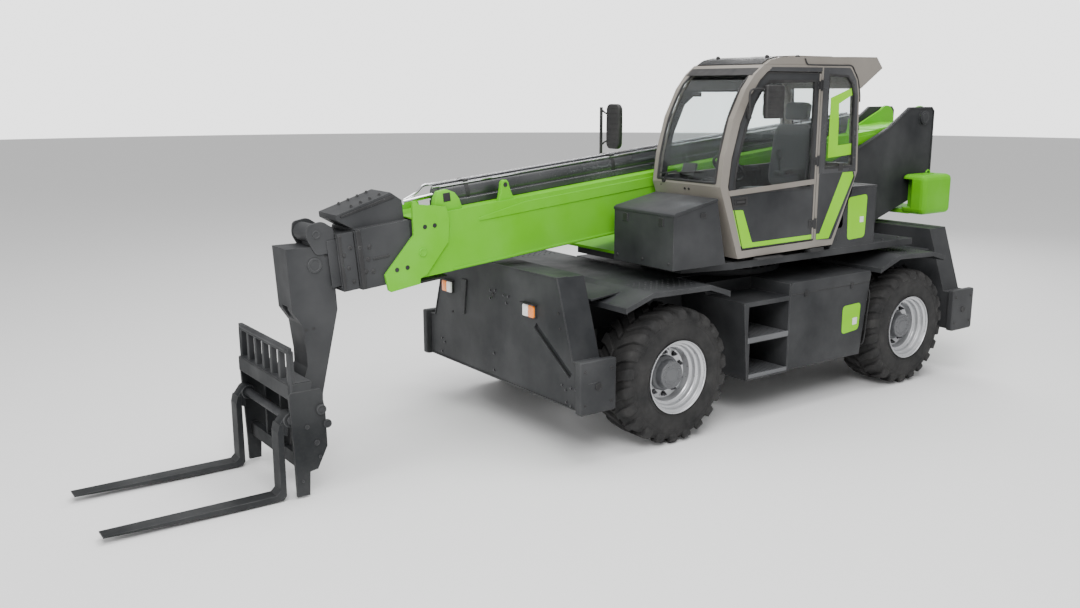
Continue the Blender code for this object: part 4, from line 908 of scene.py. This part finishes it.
def cab_shell_details():
    """Seals, roof seam, knobs, wiper, sill holes, rear stripe and the decal on the quarter window."""
    side = DOOR_SIDE
    line = mm(1048,2128, 1016,2352, 926,2659, 797,2898, 730,2972, 655,3030)
    seals = []
    for y in (0.385, 1.095):
        seals.append(bent([(x + 0.002, y, z) for x, z in line], 5, 0.011, 8))
    seals.append(tube_path([(1.049, 0.385, 2.13), (1.049, 1.095, 2.13)], 0.011, 8))
    piece("windscreen_seal", seals, SEAL)
    header = mm(700,3010, 704,3014, 628,3074, 624,3069)
    piece("windscreen_header", prism(header, 0.345, 1.135, "y", 0.001, 1), SEAL)
    cowl = mm(571,3103, 501,3142, 390,3164, 250,3168, 250,3173, 392,3170, 505,3148, 578,3107)
    piece("roof_front_cowl", prism(cowl, 0.352, 1.118, "y", 0.001, 1), DARK)
    piece("inner_mirror", block((0.69, 0.43, 2.83), (0.715, 0.54, 2.87), 0.008), SEAL, slot="cab_trim")
    knobs = [turned(mm(0,3150, 16,3150, 18,3172, 12,3182, 0,3184), (0.43, y, 0), "z", 16)
        for y in (0.46, 1.04)]
    knobs.append(turned(mm(0,3165, 20,3165, 20,3180, 14,3188, 0,3190), (0.02, 1.02, 0), "z", 16))
    piece("roof_knobs", knobs, SEAL)
    seam = []
    for y in (side - 0.002, 0.322):
        seam.append(bent([(0.08, y, 3.155), (0.05, y, 3.112), (-0.02, y, 3.103), (-0.4, y, 3.103),
            (-0.548, y, 3.099), (-0.6, y, 3.045), (-0.645, y, 2.985), (-0.684, y, 2.86), (-0.692, y, 2.78)],
            5, 0.007, 8))
    piece("roof_seam", seam, SEAL)
    hatch = rounded_outline(rect(-480, 460, 50, 1020), 0.06, 5)
    lid = prism(hatch, 3.168, 3.186, "z", 0.005)
    piece("roof_hatch", lid, BEIGE)
    borders = [mm(-150,3046, 533,3046, 490,3080, -150,3082), rect(-245, 2155, -172, 3082),
        mm(-245,3028, -245,3082, -525,3082, -548,3064, -503,3018),
        mm(-503,3018, -548,3064, -622,2976, -573,2963), mm(-573,2963, -622,2976, -655,2850, -618,2850),
        mm(-618,2850, -655,2850, -668,2580, -683,2190, -638,2190, -628,2600),
        mm(-245,2192, -683,2192, -686,2155, -245,2155)]
    shapes = [prism(outline, side - 0.001, side + 0.0025) for outline in borders]
    piece("side_glass_border", shapes, CHARCOAL_GLOSS)
    wiper = [bent([(1.058, 0.47, 2.128), (1.052, 0.52, 2.18), (1.044, 0.62, 2.205)], 5, 0.006, 8),
        tube_path([(1.05, 0.42, 2.175), (1.042, 0.9, 2.215)], 0.006, 6),
        boss((1.052, 0.47, 2.115), (1, 0, 0), 0.02, 0.015, 18)]
    piece("windscreen_wiper", wiper, SEAL)
    holes = [boss((1.04, y, 2.06), (0.94, 0, -0.35), 0.011, 0.003, 16)
        for y in (0.72, 0.77)] + [boss((1.043, 0.42, 2.075), (0.94, 0, -0.35), 0.006, 0.003, 12)]
    piece("sill_plugs", holes, SEAL)
    lower = rounded_outline(mm(-180,1558, -180,2155, -660,2155, -680,2100, -395,1548), 0.012, 3)
    piece("rear_quarter_panel", prism(lower, side - 0.003, side + 0.0035, "y", 0.0015, 1), CHARCOAL)
    arm = mm(-180,1562, -352,1560, -655,2110, -640,2153, -502,2153, -222,1612, -180,1612)
    piece("rear_quarter_stripe", prism(arm, side + 0.003, side + 0.0045), DECAL)
    piece("quarter_glass_seal", band(QUARTER, 0.022, side - 0.024, side + 0.003, 0.001), SEAL)
    vent = rounded_outline(rect(-500, 2168, -440, 2235), 0.008, 3)
    piece("quarter_lock_plate", prism(vent, side - 0.004, side + 0.005, "y", 0.001, 1), SEAL)
    bracket = mm(-300,2290, -622,2310, -618,2410, -430,2398, -418,2770, -595,2845, -575,2905, -300,2820)
    shapes = [prism(bracket, side - 0.0135, side - 0.0115)]
    piece("quarter_window_decal", shapes, DECAL)
    steps = [block((0.3, 1.155, 1.452), (0.62, 1.205, 1.47)),
        block((-0.28, 1.1, 1.452), (-0.1, 1.18, 1.485), 0.006)]
    piece("cab_foot_plates", steps, DARK)
    piece("rear_window_seal",
        [*[tube_path([(-0.7, y, 2.215), (-0.68, y, 2.58), (-0.668, y, 2.86), (-0.662, y, 2.902)], 0.01, 8)
        for y in (0.392, 1.088)], tube_path([(-0.7, 0.392, 2.216), (-0.7, 1.088, 2.216)], 0.01, 8)], SEAL)


def cushion(size, crown=0.5, steps=14, pinch=0.03):
    """A crowned pad with pulled-in sides, centred on the origin; size is along x, y and z."""
    bm = bmesh.new()
    bmesh.ops.create_cube(bm, size=2)
    bmesh.ops.subdivide_edges(bm, edges=bm.edges, cuts=steps, use_grid_fill=True)
    for v in bm.verts:
        x, y, z = v.co
        power = 5.0
        length = (abs(x) ** power + abs(y) ** power + abs(z) ** power) ** (1 / power)
        x, y, z = x / length, y / length, z / length
        dome = 1 + crown * 0.35 * (1 - x * x) * (1 - y * y)
        side = 1 - pinch * math.cos(x * math.pi / 2) ** 2
        seam = 0.018 if abs(z) < 0.08 else 0.0
        v.co = Vector((x * (1 - pinch * math.cos(y * math.pi / 2) ** 2 - seam), y * (side - seam),
            z * dome))
        groove = math.exp(-((abs(y) - 0.52) / 0.035) ** 2) * 0.1 if abs(z) > 0.3 else 0.0
        v.co.z *= 1 - groove
    bm.transform(Matrix.Diagonal((size[0] / 2, size[1] / 2, size[2] / 2, 1)))
    return bm


def tilted(bm, place, degrees):
    """Turns a shape about the y axis and moves it to its place."""
    bm.transform(Matrix.Translation(place) @ Matrix.Rotation(math.radians(degrees), 4, "Y"))
    return bm


def interior():
    """Seat with its cushions, armrests and levers, the console, and the floor mat and headliner."""
    y = SEAT_Y
    cushions = [piece("seat_cushion", tilted(cushion((0.48, 0.46, 0.125)), (-0.02, y, 1.945), -3), CLOTH,
        angle=60), piece("seat_back", tilted(cushion((0.6, 0.44, 0.11), 0.35), (-0.285, y, 2.29), -99),
        CLOTH, angle=60),
        piece("seat_headrest", tilted(cushion((0.17, 0.27, 0.085), 0.4, 8), (-0.355, y, 2.695), -98), CLOTH,
        angle=60)]
    base = [block((-0.26, 0.54, 1.545), (0.1, 0.92, 1.62), 0.02),
        block((-0.22, 0.58, 1.72), (0.14, 0.88, 1.875), 0.03)]
    for i in range(5):
        base.append(block((-0.2 + 0.004 * i, 0.59, 1.625 + i * 0.019), (0.1, 0.87, 1.64 + i * 0.019),
            0.006))
    base += [rod((-0.345, yy, 2.56), (-0.352, yy, 2.68), 0.006, 8) for yy in (0.68, 0.78)]
    made = piece("seat_base", base, TRIM)
    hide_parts("seat")
    arms = []
    for s in (1, -1):
        arms.append(tilted(cushion((0.3, 0.07, 0.05), 0.4, 6), (0.02, y + s * 0.275, 2.17), 0))
        arms.append(block((-0.16, y + s * 0.25, 1.96), (-0.1, y + s * 0.29, 2.16), 0.012))
        arms.append(block((0.1, y + s * 0.235, 2.145), (0.22, y + s * 0.315, 2.19), 0.014))
        arms.append(bent([(0.17, y + s * 0.275, 2.19), (0.18, y + s * 0.275, 2.25),
            (0.185, y + s * 0.275, 2.3)], 4, 0.011, 10))
        arms.append(tilted(cushion((0.045, 0.05, 0.085), 0.3, 5), (0.187, y + s * 0.275, 2.33), 8))
    piece("seat_armrests", arms, TRIM, angle=50)
    wheel_centre = Vector((0.52, y, 2.21))
    axis = Vector((-0.69, 0, 0.724))
    across = Vector((0, 1, 0))
    up = axis.cross(across)
    ring = [wheel_centre + (across * math.cos(a) + up * math.sin(a)) * 0.155
        for a in (2 * math.pi * i / 40 for i in range(40))]
    parts = [tube_path(ring, 0.0125, 10, True), rod((0.725, y, 1.99), wheel_centre, 0.026, 16, 0.004),
        boss(wheel_centre - axis * 0.01, axis, 0.045, 0.022, 24)]
    parts += [rod(wheel_centre, wheel_centre + (across * math.cos(a) + up * math.sin(a)) * 0.15, 0.01, 8)
        for a in (math.radians(90), math.radians(210), math.radians(330))]
    dash = rounded_outline(mm(500,1547, 740,1547, 925,2050, 895,2115, 845,2118, 700,2045, 620,1900), 0.03,
        4)
    parts.append(prism(dash, 0.452, 0.998, "y", 0.01))
    made = piece("dash_and_steering", parts, TRIM)
    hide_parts("steering_console")
    screen = tilted(block((-0.012, -0.085, -0.06), (0.012, 0.085, 0.06), 0.008), (0.8, 0.52, 2.2), -20)
    piece("display", [screen, rod((0.81, 0.52, 2.08), (0.8, 0.52, 2.17), 0.012, 10)], SEAL, slot="cab_trim")
    mat = [block((-0.35, 0.37, 1.541), (0.76, 1.11, 1.546), 0.002, 1)]
    mat += [block((0.14 + 0.03 * i, 0.4, 1.545), (0.152 + 0.03 * i, 1.08, 1.549), 0.001, 1)
        for i in range(12)]
    piece("floor_mat", mat, TRIM)
    piece("headliner", block((-0.48, 0.37, 3.03), (0.5, 1.11, 3.048), 0.006), LINER)
    shelf = [block((-0.655, 0.38, 1.6), (-0.5, 1.1, 2.16), 0.03),
        block((-0.6, 0.372, 2.4), (0.0, 0.392, 2.43))]
    shelf.append(block((0.14, 0.368, 1.56), (0.52, 0.42, 2.1), 0.03))
    piece("cab_inner_panels", shelf, TRIM)
    outer = mm(-660,2100, 1000,2090, 955,2450, 800,2830, 600,3020, -520,3020)
    inner = mm(-600,2200, 930,2150, 860,2500, 730,2760, 570,2870, -530,2870)
    lining = [prism(mm(-390,1548, 790,1548, 1000,2100, -660,2100), 0.3652, 0.369)]
    for i in range(6):
        j = (i + 1) % 6
        lining.append(prism([outer[i], outer[j], inner[j], inner[i]], 0.3652, 0.369))
    piece("cab_wall_lining", lining, TRIM)


# ---------------------------------------------------------------------------------------------------- boom
def base_section_details():
    """Side strips, ears, horn, bolts and plugs on the boom's base section."""
    half = BOOM_HALF
    strips = []
    for s in (1, -1):
        low, high = sorted((s * half, s * (half + 0.007)))
        strips.append(prism(mm(5800,-139, 5800,-168, 750,-168, 750,-80, 5350,-80), low, high, "y", 0.003,
            1))
        strips.append(prism(rect(6080, -500, 700, -519), low, high, "y", 0.002, 1))
    for x in (5.505, 1.1):
        ear = [(x - 0.079, -0.05), (x + 0.079, -0.05), (x + 0.048, 0.02), (x + 0.036, 0.078)]
        ear += [(x + 0.036 * math.cos(a), 0.084 + 0.036 * math.sin(a)) for a in (0.4, 0.9, 1.57, 2.2, 2.75)]
        ear += [(x - 0.036, 0.078), (x - 0.048, 0.02)]
        strips.append(prism(ear, 0.15, 0.195, "y", 0.004, 1))
    horn = mm(5926,-50, 6190,-50, 6165,70, 6130,118, 6050,124, 5985,90, 5950,40)
    strips.append(prism(horn, 0.135, 0.195, "y", 0.005))
    strips.append(block((0.4, -0.2, -0.046), (0.75, 0.2, -0.036), 0.003, 1))
    piece("boom_side_plates", strips, LIME, "boom", local=BOOM)
    dark = []
    for s in (1, -1):
        y = s * (half + 0.022)
        dark += [boss((x, y, z), (0, s, 0), 0.018, 0.003, 18) for x, z in ((6.306, -0.126), (6.219, -0.129),
            (6.586, -0.413), (6.495, -0.412))]
        dark += [bolt((0.28 + 0.1 * i, s * (half + 0.018), z), (0, s, 0), 0.011, 0.008) for i in range(2)
            for z in (-0.15, -0.3)]
    dark.append(boss((5.505, 0.195, 0.08), (0, 1, 0), 0.02, 0.002, 18))
    dark.append(block((6.03, 0.19, 0.03), (6.095, 0.199, 0.1), 0.003, 1))
    for s in (1, -1):
        dark.append(block((6.1, s * 0.1 - 0.05, -0.585), (6.35, s * 0.1 + 0.05, -0.56), 0.006, 1))
    piece("boom_head_plugs", dark, SEAL, "boom", local=BOOM)
    caps = [boss((6.348, s * (half + 0.02), -0.32), (0, s, 0), 0.034, 0.012, 24) for s in (1, -1)]
    piece("boom_head_bosses", caps, LIME, "boom", local=BOOM)


def tray_details():
    """Hose guide on the boom: one large tube in a cradle, bright pipes along its top, and straps."""
    guide = turned(mm(0,850, 78,850, 90,862, 90,6038, 78,6050, 0,6050), (0, 0, 0), "x", 36)
    guide.transform(Matrix.Translation((0, -0.02, 0.056)))
    cradle = prism(mm(-118,-41, 78,-41, 78,12, 55,20, -95,20, -118,12), 0.85, 6.05, "x", 0.004, 1)
    made = piece("hose_guide", [guide, cradle], CHARCOAL_GLOSS, "boom", local=BOOM)
    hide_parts("hose_tray")
    rails = [tube_path([(0.95, y, z), (6.1, y, z)], r, 10)
        for y, z, r in ((-0.06, 0.148, 0.011), (-0.005, 0.154, 0.009), (0.045, 0.134, 0.009))]
    rails.append(bent([(6.0, -0.06, 0.148), (6.12, -0.06, 0.146), (6.2, -0.05, 0.1), (6.32, -0.04, 0.06)],
        5, 0.011, 10))
    rails.append(tube_path([(5.9, -0.02, 0.075), (6.34, -0.02, 0.05)], 0.02, 14))
    piece("tray_pipes", rails, CHROME, "boom", local=BOOM)
    straps = []
    for i in range(4):
        x = 1.2 + i * 1.53
        ring = turned([(0.0895, x - 0.018), (0.0945, x - 0.018), (0.0945, x + 0.018), (0.0895, x + 0.018)],
            (0, 0, 0), "x", 36)
        ring.transform(Matrix.Translation((0, -0.02, 0.056)))
        straps.append(ring)
        straps.append(block((x - 0.022, -0.08, 0.14), (x + 0.022, 0.06, 0.158), 0.003, 1))
    piece("tray_straps", straps, DARK, "boom", local=BOOM)


def inner_section_details():
    """Bolts and end collars of the second and third sections."""
    two, three = [], []
    for s in (1, -1):
        y = s * 0.209
        two += [bolt((x, y, z), (0, s, 0), 0.014, 0.008)
            for x, z in ((6.78, -0.2), (6.86, -0.19), (6.8, -0.29), (6.83, -0.38), (6.77, -0.39))]
        two.append(block((6.62, min(y, y + s * 0.006), -0.305), (6.76, max(y, y + s * 0.006), -0.285),
            0.002, 1))
        two.append(block((6.84, min(y, y + s * 0.008), -0.505), (6.876, max(y, y + s * 0.008), -0.06),
            0.003, 1))
        two.append(prism(mm(6500,130, 6960,48, 6960,60, 6520,150), *span(s, 0.16, 0.168)))
        y = s * 0.195
        three += [bolt((x, y, z), (0, s, 0), 0.012, 0.008)
            for x, z in ((6.93, -0.18), (6.985, -0.23), (6.96, -0.33), (6.93, -0.44))]
        three.append(block((6.995, min(y, y + s * 0.006), -0.495), (7.019, max(y, y + s * 0.006), -0.075),
            0.003, 1))
    two += [bolt((6.6 + 0.08 * i, y, 0.166 - 0.017 * i), (0.2, 0, 1), 0.01, 0.007) for i in range(4)
        for y in (-0.11, 0.11)]
    piece("section_2_fittings", two, DARK, "section_2", "charcoal_paint", local=BOOM)
    piece("section_3_fittings", three, DARK, "section_3", "charcoal_paint", local=BOOM)


def head_details():
    """Bosses, plugs, edge plates and the roller cheeks of the gooseneck arm."""
    parts = []
    for s in (1, -1):
        y = BOOM_Y + s * 0.13
        parts.append(boss((4.22, y, 1.627), (0, s, 0), 0.057, 0.01, 30))
        parts.append(boss((4.27, y, 0.52), (0, s, 0), 0.06, 0.006, 28))
    piece("arm_bosses", parts, CHARCOAL, "section_4")
    plugs = []
    for s in (1, -1):
        y = BOOM_Y + s * 0.13
        plugs += [boss((x, y, z), (0, s, 0), 0.01, 0.002, 14)
            for x, z in ((4.132, 1.691), (4.25, 1.152), (4.308, 1.146))]
    piece("arm_plugs", plugs, SEAL, "section_4")
    wheel = [turned(mm(0,-124, 60,-124, 71,-118, 71,118, 60,124, 0,124), (7.16, 0.0, -0.045), "y")]
    wheel += [prism(rounded_outline(mm(7020,-200, 7020,-20, 7100,45, 7220,35, 7240,-60, 7180,-200), 0.03,
        4), y, y + 0.016, "y", 0.002, 1) for y in (-0.145, 0.129)]
    wheel += [boss((7.16, s * 0.145, -0.045), (0, s, 0), 0.03, 0.008, 20) for s in (1, -1)]
    piece("head_roller", wheel, CHARCOAL, "section_4", local=BOOM)


def carriage_details():
    """Pins, backrest rail, links and fork eyes."""
    parts, rails = [], []
    for i in range(7):
        middle = BOOM_Y - 0.47 + i * 0.94 / 6
        rails.append(block((4.56, middle - 0.019, 0.862), (4.604, middle + 0.019, 1.098), 0.004, 1))
    for s in (1, -1):
        y = BOOM_Y + s * 0.5
        parts.append(boss((4.381, y, 0.645), (0, s, 0), 0.038, 0.022, 26))
        parts.append(boss((4.336, y, 0.53), (0, s, 0), 0.032, 0.016, 26))
        parts += [boss((x, y, z), (0, s, 0), r, 0.006, 18)
            for x, z, r in ((4.49, 0.53, 0.018), (4.42, 0.4, 0.022), (4.4, 0.29, 0.014),
            (4.54, 0.13, 0.012))]
        rails.append(bent([(4.59, BOOM_Y + s * 0.483, 0.8), (4.592, BOOM_Y + s * 0.483, 0.95),
            (4.594, BOOM_Y + s * 0.48, 1.08), (4.594, BOOM_Y + s * 0.465, 1.11),
            (4.594, BOOM_Y + s * 0.43, 1.118)], 5, 0.0165, 10))
    parts.append(rod((4.6, BOOM_Y - 0.495, 0.6), (4.6, BOOM_Y + 0.495, 0.6), 0.0315, 24))
    piece("carriage_pins", parts, CHARCOAL, "carriage")
    rails.append(tube_path([(4.594, BOOM_Y - 0.45, 1.11), (4.594, BOOM_Y + 0.45, 1.11)], 0.0185, 12))
    rails.append(prism(rect(4445, 862, 4618, 868), BOOM_Y - 0.49, BOOM_Y + 0.49, "y", 0.002, 1))
    piece("backrest_rail", rails, CHARCOAL, "carriage")
    links = []
    for s in (1, -1):
        links.append(bent([(4.45, BOOM_Y + s * 0.21, 0.74), (4.47, BOOM_Y + s * 0.22, 0.55),
            (4.5, BOOM_Y + s * 0.22, 0.32)], 6, 0.02, 12))
        links.append(boss((4.27, BOOM_Y + s * 0.165, 0.52), (0, s, 0), 0.045, 0.012, 26))
    piece("carriage_links", links, DARK, "carriage", "charcoal_paint")
    for s, word in SIDES:
        y = BOOM_Y + s * 0.425
        eye = turned(mm(32.5,-58, 52,-58, 56,-50, 56,50, 52,58, 32.5,58), (4.6, y, 0.6), "y", 28)
        shank = prism(mm(4628,480, 4700,520, 4690,575, 4640,640, 4610,655), y - 0.055, y + 0.055, "y",
            0.008)
        piece(f"fork_eye_{word}", [eye, shank], STEEL_EDGE, "carriage")


def cylinder_details():
    """Gland, clamps, pipe and eye caps of the lift cylinder."""
    base, eye = Vector((-2.4, BOOM_Y, 1.72)), Vector((0.4, BOOM_Y, 1.64))
    along = (eye - base).normalized()
    length = (eye - base).length
    turn = Matrix.Translation(base) @ along.to_track_quat("Z", "Y").to_matrix().to_4x4()
    gland = turned([(0.0515, length - 0.5), (0.09, length - 0.5), (0.092, length - 0.47),
        (0.092, length - 0.425), (0.086, length - 0.415), (0.0515, length - 0.415)], (0, 0, 0), "z", 36)
    bands = [turned([(0.081, z), (0.087, z), (0.087, z + 0.03), (0.081, z + 0.03)], (0, 0, 0), "z")
        for z in (0.35, 1.05, 1.75)]
    pipe = bent([(0.0, 0.085, 0.15), (0.0, 0.1, 0.25), (0.0, 0.098, 1.2), (0.0, 0.098, length - 0.6),
        (0.0, 0.08, length - 0.5)], 6, 0.011, 10)
    whole = join(gland, *bands, pipe)
    whole.transform(turn)
    piece("cylinder_gland", whole, DARK, "lift_barrel", "charcoal_paint")
    ends = join(*[boss(eye + Vector((0, s * 0.07, 0)), (0, s, 0), 0.046, 0.004, 24) for s in (1, -1)])
    piece("cylinder_eye_caps", ends, ZINC, "lift_rod")


# ---------------------------------------------------------------------------- finishes of the CAD's pieces
def finish_cad():
    """Gives each CAD piece the first finish of its slot. The forks have their own."""
    slots = {entry["node"]: entry["material_slot"] for entry in frame["record"]["subparts"]}
    for name, obj in NODES.items():
        material = STEEL_EDGE if name.startswith("fork_") else SLOTS[slots[name]][0]
        for held in obj.material_slots:
            held.material = material
        if not obj.material_slots:
            obj.data.materials.append(material)


# --------------------------------------------------------------------------------- light, floor and camera
def area_light(name, place, target, size, power):
    """A round light that faces a target."""
    data = bpy.data.lights.new(name, "AREA")
    data.shape, data.size, data.energy = "DISK", size, power
    light = bpy.data.objects.new(name, data)
    bpy.context.collection.objects.link(light)
    light.location = place
    light.rotation_euler = (Vector(target) - Vector(place)).to_track_quat("-Z", "Y").to_euler()


def studio():
    """Pale floor and world, and four lights."""
    floor_paint = Paint("floor_finish", (0.86, 0.86, 0.86), 0.75)
    floor_paint.set("Roughness", floor_paint.spread(floor_paint.noise(4, 3), 0.7, 0.8))
    bm = bmesh.new()
    bmesh.ops.create_circle(bm, cap_ends=True, segments=96, radius=FLOOR_RADIUS)
    mesh = bpy.data.meshes.new("floor")
    bm.to_mesh(mesh)
    bm.free()
    mesh.materials.append(floor_paint.material)
    floor = bpy.data.objects.new("floor", mesh)
    floor.location.z = -0.0005
    bpy.context.collection.objects.link(floor)
    world = bpy.data.worlds.new("studio")
    world.use_nodes = True
    background = world.node_tree.nodes["Background"]
    background.inputs["Color"].default_value = (1.0, 1.0, 1.0, 1)
    path = world.node_tree.nodes.new("ShaderNodeLightPath")
    seen = world.node_tree.nodes.new("ShaderNodeMath")
    seen.operation = "MAXIMUM"
    world.node_tree.links.new(path.outputs["Is Camera Ray"], seen.inputs[0])
    world.node_tree.links.new(path.outputs["Is Transmission Ray"], seen.inputs[1])
    strength = world.node_tree.nodes.new("ShaderNodeMapRange")
    strength.inputs["To Min"].default_value = 0.75
    strength.inputs["To Max"].default_value = 2.6
    world.node_tree.links.new(seen.outputs[0], strength.inputs["Value"])
    world.node_tree.links.new(strength.outputs[0], background.inputs["Strength"])
    bpy.context.scene.world = world
    area_light("key", (5.5, 7.5, 9.0), (0, 0, 1), 6.0, 1000)
    area_light("top", (-1.0, 0.5, 10.0), (0, 0, 0), 8.0, 850)
    area_light("front_fill", (15.0, 3.5, 5.0), (0, 0, 1), 6.0, 620)
    area_light("back_rim", (-9.0, -6.0, 7.0), (0, 0, 1.5), 5.0, 500)


def camera():
    """The photo's camera."""
    azimuth, pitch, roll = 0.620990362, 0.205177308, -0.000835886
    ahead = Vector((-math.sin(azimuth) * math.cos(pitch), -math.cos(azimuth) * math.cos(pitch),
        -math.sin(pitch)))
    right = ahead.cross(Vector((0, 0, 1))).normalized()
    up = right.cross(ahead)
    turn = Matrix((right, up, -ahead)).transposed()
    turn = turn @ Matrix.Rotation(roll, 3, "Z")
    data = bpy.data.cameras.new("camera")
    data.sensor_width = 36
    data.lens = 34.229
    data.shift_x, data.shift_y = -0.00249, -0.00243
    data.clip_end = 200
    view = bpy.data.objects.new("camera", data)
    view.matrix_world = Matrix.Translation((5.8028, 7.226, 2.9113)) @ turn.to_4x4()
    bpy.context.collection.objects.link(view)
    bpy.context.scene.camera = view


# ----------------------------------------------------------------------------------------- the whole scene
FRONT_FOLDS = mm(984,1236, 1209,1310, 1843,1318, 2117,1228)
REAR_FOLDS = mm(1060,1221, 1350,1322, 1884,1302, 2077,1247)
FRONT_BOX = (2.25, 2.51)
REAR_BOX = (-2.363, -2.623)


def build():
    """Every piece, then the camera and the studio."""
    finish_cad()
    for corner, x, side in CORNERS:
        tyre(corner, x, side)
        rim(corner, x, side)
        knuckle_details(corner, x, side)
        near, far = FRONT_BOX if x > 0 else REAR_BOX
        leg_details(corner, near, far, side)
    outrigger_box_details("front", FRONT_BOX[1], 1)
    outrigger_box_details("rear", REAR_BOX[1], -1)
    deck_details("front", FRONT_FOLDS, 1)
    deck_details("rear", REAR_FOLDS, -1)
    side_boxes()
    slew_ring_bolts()
    axle_details()
    turret_details()
    counterweight_details()
    side_housing_details()
    front_box_details()
    engine_hood_details()
    engine_details()
    door_details()
    mirrors()
    cab_shell_details()
    interior()
    base_section_details()
    tray_details()
    inner_section_details()
    head_details()
    carriage_details()
    cylinder_details()
    camera()
    studio()


build()
